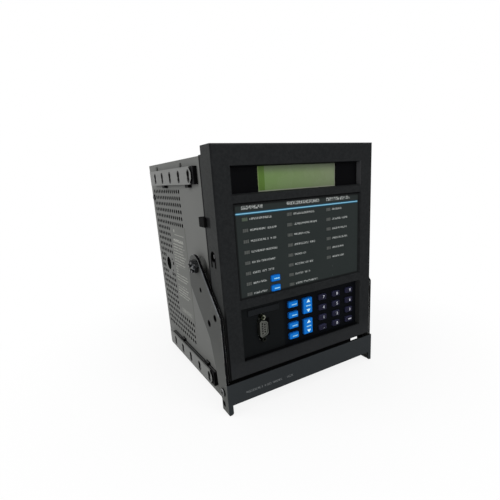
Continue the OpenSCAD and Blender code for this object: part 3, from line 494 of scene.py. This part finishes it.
def bezel_moulding():
    material, tone, shader = start_finish("bezel_black", specular=0.02)
    z = place_mm(tone)[2]
    sideways, frontal = facing(tone)[:2]
    cloud = noise(tone, 20.0, 3.0)
    grain = noise(tone, 1500.0, 3.0, 0.6)
    mottle = noise(tone, 420.0, 2.0)
    blend = cloud * 0.3 + mottle.rise(0.3, 0.7) * 0.5 + grain * 0.2
    colour = mix(tone, blend, (0.0105, 0.0114, 0.0122, 1), (0.0185, 0.0196, 0.0204, 1))
    # Painted light: a paler copy of the bezel's black for the skirts.
    lit_skirt = mix(tone, blend, (0.025, 0.0262, 0.026, 1), (0.035, 0.0362, 0.036, 1))
    on_skirt = sideways.rise(0.8, 0.97)
    colour = mix(tone, on_skirt, colour, lit_skirt)
    rubbed = frontal.inside(0.3, 0.95, 0.03) * noise(tone, 60.0, 5.0, 0.7).rise(0.45, 0.7)
    colour = mix(tone, rubbed * 0.4, colour, (0.035, 0.037, 0.039, 1))
    # Painted shade of the arms: the skirts darker towards the bottom.
    colour = mix(tone, on_skirt * z.rise(150.0, 90.0) * 0.45, colour, (0.015, 0.0158, 0.0158, 1))
    low_band = frontal.rise(0.9, 0.98) * z.rise(64.0, 50.0)
    colour = mix(tone, low_band * 0.6, colour, (0.021, 0.0222, 0.0238, 1))
    for layer in (latch_recess, window_reveals, rim_shade):
        colour = layer(tone, colour)
    apply_finish(tone, shader, colour, 0.46 + grain * 0.12, bump(tone, grain, 0.3, 0.0003))
    return material


latch = (-103.6, 171.6)
dress(bezel_moulding(), "front_bezel")


# Display: a black mask plate behind the upper window, the grey-green liquid crystal in its opening, and
# the module's plated steel rim on the board.
def mask_black():
    material, tone, shader = start_finish("mask_black", specular=0.015)
    dust = noise(tone, 1800.0, 2.0)
    cloud = noise(tone, 30.0, 2.0)
    colour = mix(tone, (dust > 0.68) * 0.3 + cloud * 0.3, (0.0015, 0.0016, 0.002, 1),
                 (0.006, 0.006, 0.0068, 1))
    apply_finish(tone, shader, colour, 0.35 + cloud * 0.2)
    return material


def liquid_crystal():
    """Grey-green, greener at its left, with a shaded top, a dark left end and a pale border."""
    material, tone, shader = start_finish("liquid_crystal", specular=0.08)
    low, high = box_mm("lcd_glass")
    x, y, z = place_mm(tone)
    hidden = 1.0
    top = high.z - hidden
    foot = low.z + hidden
    left = low.x + hidden
    right = high.x - hidden
    cloud = noise(tone, 60.0, 3.0)
    dot_width = 0.65
    dot_height = 0.75
    dots = tone.maths("FRACT", x / dot_width) * tone.maths("FRACT", z / dot_height)
    height = (z - foot) / (top - foot)
    across = (x - left) / (right - left)
    colour = mix(tone, across * 0.75 + cloud * 0.3, (0.125, 0.215, 0.065, 1), (0.172, 0.205, 0.125, 1))
    colour = mix(tone, height.rise(0.62, 1.0) * 0.7, colour, (0.12, 0.14, 0.1, 1))
    colour = mix(tone, (x < left + 9.0) * 0.75, colour, (0.065, 0.13, 0.015, 1))
    colour = mix(tone, (x < left + 2.2) * 0.7, colour, (0.18, 0.23, 0.1, 1))
    border = (z < foot + 1.1).either(x > right - 1.3)
    colour = mix(tone, border * 0.8, colour, (0.25, 0.265, 0.21, 1))
    colour = mix(tone, dots * 0.06, colour, (0.05, 0.07, 0.03, 1))
    apply_finish(tone, shader, colour, 0.2 + cloud * 0.15)
    return material


module_rim = bright_metal("module_rim", (0.4, 0.4, 0.4, 1), (0.55, 0.55, 0.54, 1), 0.35, 80.0)
dress(mask_black(), "display_mask")
dress(liquid_crystal(), "lcd_glass")
dress(module_rim, "lcd_frame")


# Indicator panel: a textured dark film printed with a blue rule, three lines of strokes above it and one
# beside each window, with ribbed light guides showing in the windows.
def stroke_lengths(tone, row, column):
    """Length of the strokes beside the window at a row and column of the panel, in millimetres."""
    longest = 40.0
    rows = [(26, 28, 14), (31, 31, 23), (30, 21, 22), (31, 28, 23), (28, 15, 17), (26, 25, 18),
            (16, 20, 0), (16, 31, 0)]
    count = len(rows)
    stops = [(index / count, [length / longest for length in lengths] + [1])
             for index, lengths in enumerate(rows)]
    strip = tone.node("ShaderNodeValToRGB", {"stops": stops}, {"Fac": (row + 0.5) / count})
    left, middle, right = [tone.node("ShaderNodeSeparateColor", {}, {"Color": strip}, side)
                           for side in ("Red", "Green", "Blue")]
    picked = left * (column < 0.5) + middle * (abs(column - 1.0) < 0.5) + right * (column > 1.5)
    return picked * longest


def overlay_film():
    material, tone, shader = start_finish("overlay_film", specular=0.06)
    x, y, z = place_mm(tone)
    cloud = noise(tone, 25.0, 3.0)
    grain = noise(tone, 2400.0, 2.0)
    colour = mix(tone, cloud * 0.5 + grain * 0.5, (0.0145, 0.0186, 0.0182, 1), (0.021, 0.0262, 0.0254, 1))
    guide_low, guide_high = box_mm("light_guide_left")
    step = box_mm("light_guide_middle")[0].x - guide_low.x
    top = guide_high.z - 1.65
    pitch = 10.9
    row = tone.maths("FLOOR", (top + pitch / 2 - z) / pitch)
    level = (top - row * pitch) - z
    column = tone.maths("FLOOR", (x - guide_low.x) / step)
    across = x - (guide_low.x + column * step)
    on_panel = (column > -0.5) * (column < 2.5)
    length = stroke_lengths(tone, row, column)
    beside = small_print(tone, across - 8.3, level + 1.1, 2.1, length, row + column * 9.0)
    colour = mix(tone, beside * (row > -0.5) * on_panel * 0.72, colour, (0.42, 0.44, 0.43, 1))
    head_length = 24.0 + (column > 0.5) * 19.0 - (column > 1.5) * 8.0
    heads = small_print(tone, across, top + 13.1 - z, 3.6, head_length, column * 3.0 + 20.0)
    colour = mix(tone, heads * on_panel * 0.7, colour, (0.46, 0.48, 0.47, 1))
    rule = z.inside(top + 4.35, top + 6.85, 0.2) * x.inside(-80.6, 79.5, 0.2)
    core = z.inside(top + 5.2, top + 6.05, 0.25)
    rule_blue = mix(tone, core, (0.012, 0.085, 0.15, 1), (0.25, 0.54, 0.72, 1))
    colour = mix(tone, rule, colour, rule_blue)
    low, high = box_mm("status_overlay")
    # Painted shade of the recess: a near black border round the film.
    clear = x.inside(low.x + 1.6, high.x - 1.6, 0.8) * z.inside(low.z + 1.8, high.z - 1.8, 0.8)
    colour = mix(tone, (1.0 - clear) * 0.9, colour, (0.004, 0.0044, 0.0046, 1))
    apply_finish(tone, shader, colour, 0.5 + grain * 0.1, bump(tone, grain, 0.3, 0.0002))
    return material


def milky_guide():
    """Milky plastic with three ribs to a window, a little greener in the first window."""
    material, tone, shader = start_finish("milky_guide", specular=0.1)
    x, y, z = place_mm(tone)
    rib_pitch = 2.07
    rib = tone.maths("FRACT", (x - box_mm("light_guide_left")[0].x) / rib_pitch)
    cloud = noise(tone, 300.0, 2.0)
    colour = mix(tone, cloud, (0.06, 0.065, 0.062, 1), (0.09, 0.096, 0.09, 1))
    colour = mix(tone, rib.rise(0.3, 0.2) * 0.75, colour, (0.02, 0.024, 0.024, 1))
    first_window = (z > 203.0) * (x < -60.0)
    colour = mix(tone, first_window * 0.3, colour, (0.06, 0.11, 0.045, 1))
    apply_finish(tone, shader, colour, 0.35 + cloud * 0.2, bump(tone, rib, 0.4, 0.0003))
    return material


dress(overlay_film(), "status_overlay")
dress(milky_guide(), "light_guide_left", "light_guide_middle", "light_guide_right")


# Keypad: a black moulded plate with blue command keys, two blue up and down rockers and dark number keys.
# The marks are pad-printed, a little right of each key's middle.
def keypad_moulding():
    """Satin black plate, a little greyer at its left, with a painted shadow black round the port."""
    material, tone, shader = start_finish("keypad_black", specular=0.015)
    x, y, z = place_mm(tone)
    grain = noise(tone, 1300.0, 3.0, 0.6)
    by_port = x.rise(-24.0, -30.0)
    dark = mix(tone, by_port, (0.0016, 0.002, 0.0028, 1), (0.0048, 0.0056, 0.006, 1))
    pale = mix(tone, by_port, (0.004, 0.0046, 0.0058, 1), (0.0082, 0.0092, 0.0098, 1))
    low, high = box_mm("port_insulator")
    # Painted shadow of the port on the plate, mostly to its right and below it.
    port_shadow = x.inside(low.x + 0.8, high.x + 6.0, 0.6) * z.inside(low.z - 3.0, high.z + 0.5, 0.6)
    colour = mix(tone, port_shadow, mix(tone, grain, dark, pale), (0.0008, 0.0008, 0.0009, 1))
    apply_finish(tone, shader, colour, 0.39 + grain * 0.12, bump(tone, grain, 0.35, 0.0003))
    return material


def key_plastic(name, dark, pale, rim, specular, roughness):
    """Glossy key moulding whose sloping rim differs from its face."""
    material, tone, shader = start_finish(name, specular)
    grain = noise(tone, 1600.0, 2.0)
    cloud = noise(tone, 90.0, 2.0)
    colour = mix(tone, cloud * 0.6 + grain * 0.4, dark, pale)
    colour = mix(tone, facing(tone)[1].rise(0.95, 0.85) * 0.7, colour, rim)
    apply_finish(tone, shader, colour, roughness + cloud * 0.1, bump(tone, grain, 0.15, 0.0001))
    return material


def print_ink(name, dark, pale):
    material, tone, shader = start_finish(name, specular=0.1)
    speck = noise(tone, 1500.0, 3.0)
    apply_finish(tone, shader, mix(tone, speck, dark, pale), 0.45 + speck * 0.15)
    return material


def alone(piece):
    """Selects one object and makes it the active one."""
    bpy.ops.object.select_all(action="DESELECT")
    piece.select_set(True)
    bpy.context.view_layer.objects.active = piece


def settle(piece, name, material, body):
    """Puts a finished piece's place into its mesh, and gives it its name, finish and body."""
    alone(piece)
    bpy.ops.object.transform_apply(location=True, rotation=True, scale=True)
    piece.name = name
    piece.data.materials.clear()
    piece.data.materials.append(material)
    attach(piece, body)
    return piece


def on_key(name, right, up=0.0):
    """A point on a key's front, from the front's middle, in millimetres to the right and up."""
    low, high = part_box(name)
    return Vector(((low.x + high.x) / 2 + right * mm, low.y, (low.z + high.z) / 2 + up * mm))


def print_bar(name, body, at, width, height, ink):
    """A rounded printed bar that lies on a key's front."""
    bpy.ops.object.select_all(action="DESELECT")
    bpy.ops.mesh.primitive_cube_add(size=1.0, location=at)
    bar = bpy.context.object
    bar.scale = (width, ink_depth, height)
    bpy.ops.object.transform_apply(location=False, rotation=False, scale=True)
    ends = bar.modifiers.new("ends", "BEVEL")
    ends.affect = "VERTICES"
    ends.width = height * 0.3
    ends.segments = 2
    bpy.ops.object.modifier_apply(modifier="ends")
    settle(bar, name, ink, body)


def print_digit(name, body, at, words, size):
    """A printed figure that lies on a key's front."""
    bpy.ops.object.select_all(action="DESELECT")
    bpy.ops.object.text_add(location=at, rotation=(math.pi / 2, 0, 0))
    figure = bpy.context.object
    figure.data.body = words
    figure.data.size = size
    figure.data.align_x = "CENTER"
    figure.data.align_y = "CENTER"
    figure.data.extrude = ink_depth / 2
    figure.data.offset = 0.02 * size
    bpy.ops.object.convert(target="MESH")
    settle(bpy.context.object, name, white_ink, body)


def print_arrow(name, body, at, width, up):
    """A printed triangle with blunt corners that lies on a rocker's front."""
    bpy.ops.object.select_all(action="DESELECT")
    bpy.ops.mesh.primitive_cylinder_add(vertices=3, radius=width / math.sqrt(3), depth=ink_depth, location=at,
                                        rotation=(math.pi / 2, 0, 0))
    arrow = bpy.context.object
    arrow.scale = (1.0, 0.8 if up else -0.8, 1.0)
    bpy.ops.object.transform_apply(location=False, rotation=False, scale=True)
    bpy.ops.object.mode_set(mode="EDIT")
    bpy.ops.mesh.select_all(action="SELECT")
    bpy.ops.mesh.normals_make_consistent(inside=False)
    bpy.ops.object.mode_set(mode="OBJECT")
    corners = arrow.modifiers.new("corners", "BEVEL")
    corners.width = 0.3 * mm
    corners.segments = 2
    corners.limit_method = "ANGLE"
    corners.angle_limit = math.radians(100.0)
    bpy.ops.object.modifier_apply(modifier="corners")
    settle(arrow, name, bright_ink, body)


ink_depth = 0.08 * mm
key_edge = 0.4 * mm
white_ink = print_ink("white_ink", (0.46, 0.48, 0.53, 1), (0.62, 0.64, 0.69, 1))
bright_ink = print_ink("bright_ink", (0.56, 0.82, 0.9, 1), (0.64, 0.9, 0.96, 1))
pale_ink = print_ink("pale_ink", (0.24, 0.54, 0.76, 1), (0.34, 0.66, 0.86, 1))
cover_black = moulding("cover_black", (0.0075, 0.0085, 0.0095, 1), (0.012, 0.0135, 0.015, 1),
                       0.42, 1300.0, 0.0003, 0.03)
blue_plastic = key_plastic("blue_plastic", (0.003, 0.137, 0.51, 1), (0.006, 0.177, 0.62, 1),
                           (0.003, 0.075, 0.34, 1), 0.03, 0.2)
violet_black = key_plastic("violet_black", (0.009, 0.009, 0.021, 1), (0.015, 0.0145, 0.032, 1),
                           (0.025, 0.026, 0.06, 1), 0.05, 0.3)
dress(keypad_moulding(), "keypad_plate")
dress(cover_black, "port_cover_plate")
soften_edges("port_cover_plate", 0.2 * mm)

command_keys = ["reset_key", "next_key", "command_key_1", "command_key_2", "command_key_3", "command_key_4"]
rockers = ["message_rocker", "value_rocker"]
dress(blue_plastic, *rockers, *command_keys)
for key in command_keys:
    soften_edges(key, key_edge, 3)
    print_bar(key + "_mark", key, on_key(key, 1.2, -0.4), 6.8 * mm, 1.2 * mm, pale_ink)
for key in rockers:
    soften_edges(key, key_edge, 3)
    print_arrow(key + "_up_mark", key, on_key(key, 0.8, 5.4), 5.6 * mm, True)
    print_arrow(key + "_down_mark", key, on_key(key, 0.8, -5.4), 5.6 * mm, False)
    print_bar(key + "_mark", key, on_key(key, 0.8), 6.8 * mm, 1.3 * mm, pale_ink)

figures = {"key_%d" % digit: str(digit) for digit in range(10)}
figures["key_point"] = "."
dress(violet_black, "key_help", *figures)
for key, figure in figures.items():
    soften_edges(key, key_edge, 3)
    print_digit(key + "_mark", key, on_key(key, 1.2), figure, 4.8 * mm)
soften_edges("key_help", key_edge, 3)
print_bar("key_help_mark", "key_help", on_key("key_help", 1.2), 5.2 * mm, 1.2 * mm, white_ink)


# Serial port: a dull tinned steel shell round a grey insulator with nine contact holes, held by two
# hexagonal jack screws.
def contact_block():
    """Grey plastic, with painted shade black behind its face and round the contact holes, which stand in two
    columns.
    """
    material, tone, shader = start_finish("contact_block", specular=0.1)
    low, high = box_mm("port_insulator")
    x, y, z = place_mm(tone)
    cloud = noise(tone, 400.0, 3.0)
    colour = mix(tone, cloud, (0.06, 0.062, 0.055, 1), (0.1, 0.102, 0.092, 1))
    depth = y - low.y
    # Painted shade: black on all that lies behind the face.
    colour = mix(tone, depth.rise(0.05, 0.15), colour, (0.004, 0.004, 0.004, 1))
    pitch = 2.76
    across = x - (low.x + high.x) / 2
    up = z - (low.z + high.z) / 2
    for column, shift, reach in ((-1.42, 0.5, 6.9), (1.42, 0.0, 5.5)):
        from_hole = (tone.maths("FRACT", up / pitch + shift) - 0.5) * pitch
        # Painted shade round each contact hole.
        rim = disc(across - column, from_hole, 0.966, 0.129) * (abs(up) < reach)
        colour = mix(tone, rim, colour, (0.003, 0.003, 0.003, 1))
    apply_finish(tone, shader, colour, 0.5 + cloud * 0.1)
    return material


def jack_brass():
    """Passivated brass, with painted shade dark at its left on the upper jack screw and near black on the
    lower one.
    """
    material, tone, shader = start_finish("jack_brass", specular=0.5, metallic=1.0)
    x, y, z = place_mm(tone)
    low, high = box_mm("port_jack_screws")
    middle = (low.x + high.x) / 2
    cloud = noise(tone, 300.0, 4.0)
    colour = mix(tone, cloud, (0.13, 0.135, 0.105, 1), (0.24, 0.245, 0.2, 1))
    # Painted shade on the left of each jack screw.
    colour = mix(tone, x.rise(middle + 0.4, middle - 1.0), colour, (0.02, 0.025, 0.014, 1))
    # Painted shade, near black, on the lower jack screw.
    colour = mix(tone, z.rise(90.0, 86.0), colour, (0.012, 0.013, 0.011, 1))
    apply_finish(tone, shader, colour, 0.4 + cloud * 0.16)
    return material


tinned_steel = bright_metal("tinned_steel", (0.07, 0.075, 0.066, 1), (0.17, 0.175, 0.158, 1), 0.44, 300.0)
dress(tinned_steel, "port_shell")
dress(jack_brass(), "port_jack_screws")
dress(contact_block(), "port_insulator")
soften_edges("port_jack_screws", 0.3 * mm)


# Handle: a painted bar screwed between two flat steel arms, which turn on shouldered studs under slotted
# nuts and come up against rubber stops. The arms' cut edges are black with painted shade, and pale along the
# corners with a painted highlight and wear.
def bar_finish():
    """Blue-black paint on the bar's plate, painted shade black on its faces that look up or down, with a
    faint line of strokes.
    """
    material, tone, shader = start_finish("bar_paint", specular=0.03)
    x, y, z = place_mm(tone)
    upright = facing(tone)[2]
    cloud = noise(tone, 18.0, 4.0)
    grain = noise(tone, 2400.0, 2.0)
    scuff = noise(tone, 110.0, 6.0, 0.7)
    colour = mix(tone, cloud * 0.6 + grain * 0.4, (0.021, 0.0242, 0.0264, 1), (0.0298, 0.0334, 0.0358, 1))
    colour = mix(tone, scuff.rise(0.64, 0.8) * 0.25, colour, (0.08, 0.085, 0.09, 1))
    # Painted shade: black on the faces that look up or down.
    colour = mix(tone, upright.rise(0.3, 0.7), colour, (0.003, 0.003, 0.0032, 1))
    line = small_print(tone, x + 84.0, 22.6 - z, 2.6, 62.0, 2.0) * (y < bezel_front + 0.5)
    colour = mix(tone, line * 0.65, colour, (0.17, 0.18, 0.185, 1))
    apply_finish(tone, shader, colour, 0.42 + cloud * 0.12, bump(tone, grain, 0.25, 0.0002))
    return material


def arm_wear(tone, colour):
    """Painted shade black on the cut edges and in the holes, a painted highlight with wear along the slanting
    front edge, and painted light that makes the foot paler.
    """
    # Painted shade on the cut edges, and a painted highlight with wear on the corners.
    colour = cut_edges(tone, colour, (0.0015, 0.0016, 0.002, 1))
    y, z = place_mm(tone)[1:]
    back = y - bezel_front
    flat = facing(tone)[0].rise(0.5, 0.8)
    slope = math.radians(48.81)
    from_edge = (back - 3.0) * math.sin(slope) - (z - 110.5) * math.cos(slope)
    edge_glint_and_wear = from_edge.inside(0.0, 2.4, 0.4) * z.inside(112.0, 158.0, 2.0)
    patchy = scuffs(tone).rise(0.3, 0.6) * 0.6 + 0.4
    # Painted highlight with wear along the slanting front edge.
    colour = mix(tone, edge_glint_and_wear * patchy * flat * 0.7, colour, (0.11, 0.12, 0.134, 1))
    # Painted light: paler towards the foot.
    colour = mix(tone, z.rise(95.0, 10.0) * flat * 0.6, colour, (0.1, 0.103, 0.098, 1))
    holes = ((49.5, 130.3, 3.0), (12.6, 9.4, 3.6), (33.6, 96.4, 4.0), (15.9, 107.7, 4.0))
    # Painted shade in and round each hole.
    for hole_back, hole_z, radius in holes:
        colour = mix(tone, disc(back - hole_back, z - hole_z, radius), colour, (0.002, 0.002, 0.0022, 1))
    return colour


def stud_finish():
    """The chassis paint on the studs' collars, and blackened steel on their tips."""
    material, tone, shader = start_finish("stud_paint", specular=0.08)
    x = place_mm(tone)[0]
    cloud = noise(tone, 150.0, 3.0)
    colour = mix(tone, abs(x).rise(103.0, 104.0), mix(tone, cloud, *chassis_grey), (0.04, 0.042, 0.046, 1))
    apply_finish(tone, shader, colour, 0.35 + cloud * 0.15)
    return material


arm_paint = sheet_paint("arm_paint", (0.052, 0.0536, 0.0513, 1), (0.07, 0.072, 0.0695, 1), arm_wear)
stop_rubber = moulding("stop_rubber", (0.003, 0.003, 0.003, 1), (0.006, 0.006, 0.006, 1),
                       0.7, 1200.0, 0.0003, 0.02)
black_steel = bright_metal("blackened_steel", (0.02, 0.021, 0.023, 1), (0.085, 0.088, 0.092, 1), 0.28, 150.0)
dress(arm_paint, "handle_arm_left", "handle_arm_right")
dress(bar_finish(), "handle_bar")
dress(stop_rubber, "handle_stop_left", "handle_stop_right")
dress(stud_finish(), "pivot_studs")
dress(black_steel, "pivot_caps")
for name, width in (("handle_arm_left", 0.25), ("handle_arm_right", 0.25), ("handle_bar", 0.3),
                    ("pivot_caps", 0.4), ("handle_stop_left", 0.8), ("handle_stop_right", 0.8)):
    soften_edges(name, width * mm)


# Screws and rivets: pan heads with a cross recess at the rear of each side, in the bezel's skirts and in
# the handle's arms, and low dark grey rivets along the chassis edges.
def screw_steel():
    """Plated steel, with painted shade black towards the rim of each head."""
    material, tone, shader = start_finish("screw_steel", specular=0.5, metallic=1.0)
    y, z = place_mm(tone)[1:]
    cloud = noise(tone, 200.0, 3.0)
    colour = mix(tone, cloud, (0.09, 0.092, 0.092, 1), (0.16, 0.162, 0.162, 1))
    widest = 9.0
    for (at_y, at_z), unshaded in ((rear_screw, 2.9), (latch, 1.75), (foot_screw, 4.5)):
        off_y = y - at_y
        off_z = z - at_z
        away = tone.maths("SQRT", off_y * off_y + off_z * off_z)
        # Painted shade: black from a small unshaded middle out to the rim.
        colour = mix(tone, away.inside(unshaded, widest, 0.3), colour, (0.006, 0.0062, 0.0065, 1))
    apply_finish(tone, shader, colour, 0.3 + cloud * 0.15)
    return material


def pan_head(radius, height, shank_radius, shank_length):
    """A cross-recessed pan-head screw that points its head along +X from the origin."""
    bpy.ops.object.select_all(action="DESELECT")
    bpy.ops.mesh.primitive_cylinder_add(vertices=28, radius=radius, depth=height,
                                        location=(height / 2, 0, 0), rotation=(0, math.pi / 2, 0))
    screw = bpy.context.object
    bpy.ops.object.transform_apply(location=True, rotation=True, scale=True)
    bpy.ops.object.mode_set(mode="EDIT")
    bpy.ops.mesh.select_mode(type="FACE")
    bpy.ops.mesh.select_all(action="DESELECT")
    bpy.ops.object.mode_set(mode="OBJECT")
    for face in screw.data.polygons:
        face.select = face.normal.x < -0.9
    bpy.ops.object.mode_set(mode="EDIT")
    bpy.ops.mesh.inset(thickness=radius - shank_radius)
    bpy.ops.mesh.extrude_region_move(TRANSFORM_OT_translate={"value": (-shank_length, 0, 0)})
    bpy.ops.mesh.select_all(action="DESELECT")
    bpy.ops.object.mode_set(mode="OBJECT")
    for face in screw.data.polygons:
        face.select = face.normal.x > 0.9
    bpy.ops.object.mode_set(mode="EDIT")
    bpy.ops.mesh.bevel(offset=height * 0.55, segments=4, affect="EDGES")
    bpy.ops.object.mode_set(mode="OBJECT")
    for turn in (0.0, math.pi / 2):
        bpy.ops.object.select_all(action="DESELECT")
        bpy.ops.mesh.primitive_cube_add(size=1.0, location=(height, 0, 0), rotation=(turn, 0, 0))
        wing = bpy.context.object
        wing.scale = (height, radius * 1.05, radius * 0.3)
        alone(screw)
        slot = screw.modifiers.new("slot", "BOOLEAN")
        slot.operation = "DIFFERENCE"
        slot.object = wing
        bpy.ops.object.modifier_apply(modifier="slot")
        alone(wing)
        bpy.ops.object.delete()
    return screw


def place_screws(name, node, body, screw, places):
    """Copies of a screw at x, y, z, each widened and turned on its axis, joined as one piece for a node."""
    copies = []
    for x, y, z, wide, turn in places:
        alone(screw)
        bpy.ops.object.duplicate(linked=False)
        copy = bpy.context.object
        copy.location = (x * mm, y * mm, z * mm)
        copy.rotation_euler = (turn, 0, math.pi if x < 0 else 0)
        copy.scale = (1.0, wide, wide)
        copies.append(copy)
    alone(screw)
    bpy.ops.object.delete()
    bpy.ops.object.select_all(action="DESELECT")
    for copy in copies:
        copy.select_set(True)
    bpy.context.view_layer.objects.active = copies[0]
    bpy.ops.object.join()
    piece = settle(copies[0], name, screw_finish, body)
    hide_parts(node)


foot_screw = (-108.6, 24.2)
screw_finish = screw_steel()
small_screw = pan_head(3.3 * mm, 1.8 * mm, 2.0 * mm, 3.2 * mm)
place_screws("chassis_pan_screws", "chassis_screws", "chassis", small_screw, [
    (-97.0, *rear_screw, 1.3, 0.5), (97.0, *rear_screw, 1.3, 0.9),
    (-98.0, *latch, 0.82, 0.2), (98.0, *latch, 0.82, 0.6)])
large_screw = pan_head(4.2 * mm, 2.0 * mm, 2.0 * mm, 8.0 * mm)
place_screws("handle_pan_screws", "handle_screws", "handle", large_screw, [
    (-105.5, *foot_screw, 1.14, 0.4), (105.5, *foot_screw, 1.14, 0.8)])
rivet_paint = moulding("rivet_paint", (0.018, 0.0185, 0.018, 1), (0.034, 0.035, 0.034, 1),
                       0.5, 1400.0, 0.0002, 0.1)
dress(rivet_paint, "roof_rivets")
soften_edges("roof_rivets", 0.4 * mm, 3)


# Studio: a pale floor that fades into the white surround, a large soft light on the left, one in front
# and one above.
def pale_floor():
    """A pale matt floor that looks white to the camera, except for the shadow round the part."""
    material, tone, shader = start_finish("pale_floor", specular=0.05)
    shader.inputs["Roughness"].default_value = 0.9
    tint = mix(tone, noise(tone, 3.0, 2.0), (0.8, 0.8, 0.8, 1), (0.83, 0.83, 0.83, 1))
    tone.tree.links.new(tint.socket, shader.inputs["Base Color"])
    glow = tone.node("ShaderNodeEmission", {}, {"Color": (1, 1, 1, 1), "Strength": 1.0})
    seen = tone.node("ShaderNodeLightPath", out="Is Camera Ray")
    x, y, z = place_mm(tone)
    away = tone.maths("SQRT", x * x + y * y).rise(170.0, 420.0)
    near_glow = 0.86
    lifted = tone.node("ShaderNodeMixShader", {}, {
        0: seen * (away * (1.0 - near_glow) + near_glow), 1: Tone(tone.tree, shader.outputs[0]), 2: glow})
    tone.tree.links.new(lifted.socket, material.node_tree.nodes["Material Output"].inputs["Surface"])
    return material


bpy.ops.object.select_all(action="DESELECT")
bpy.ops.mesh.primitive_plane_add(size=12.0, location=(0, 0, -0.2 * mm))
floor = bpy.context.object
floor.name = "floor"
floor.data.materials.append(pale_floor())


def soft_light(name, at, towards, size, power):
    bpy.ops.object.select_all(action="DESELECT")
    bpy.ops.object.light_add(type="AREA", location=at)
    lamp = bpy.context.object
    lamp.name = name
    lamp.data.size = size
    lamp.data.energy = power
    lamp.rotation_euler = (Vector(towards) - Vector(at)).to_track_quat("-Z", "Y").to_euler()


soft_light("left_softbox", (-1.7, 0.6, 0.9), (0, 0, 0.13), 1.5, 26.0)
soft_light("front_softbox", (0.3, -1.7, 1.2), (0, 0, 0.13), 1.4, 22.0)
soft_light("top_softbox", (0.1, 0.1, 2.0), (0, 0, 0.1), 1.6, 14.0)

surround = bpy.data.worlds.new("studio")
bpy.context.scene.world = surround
surround.use_nodes = True
sky = Tone(surround.node_tree)
camera_ray, glossy_ray, clear_ray = [
    sky.node("ShaderNodeLightPath", out=kind)
    for kind in ("Is Camera Ray", "Is Glossy Ray", "Is Transmission Ray")]
seen_white = sky.maths("MINIMUM", camera_ray + glossy_ray + clear_ray, 1.0)
fill_light = 0.32
background = surround.node_tree.nodes["Background"]
background.inputs["Color"].default_value = (1, 1, 1, 1)
strength = seen_white * (1.0 - fill_light) + fill_light
surround.node_tree.links.new(strength.socket, background.inputs["Strength"])

bpy.ops.object.select_all(action="DESELECT")
bpy.ops.object.camera_add(location=(-0.2368, -0.4346, 0.24513))
camera = bpy.context.object
camera.rotation_euler = [math.radians(turn) for turn in (74.8005, 3.1492, -31.3777)]
camera.data.sensor_width = 36.0
camera.data.lens = 26.28
camera.data.shift_x = -0.0317
camera.data.shift_y = 0.0519
camera.data.clip_start = 0.01
bpy.context.scene.camera = camera
bpy.context.scene.view_settings.view_transform = "Standard"
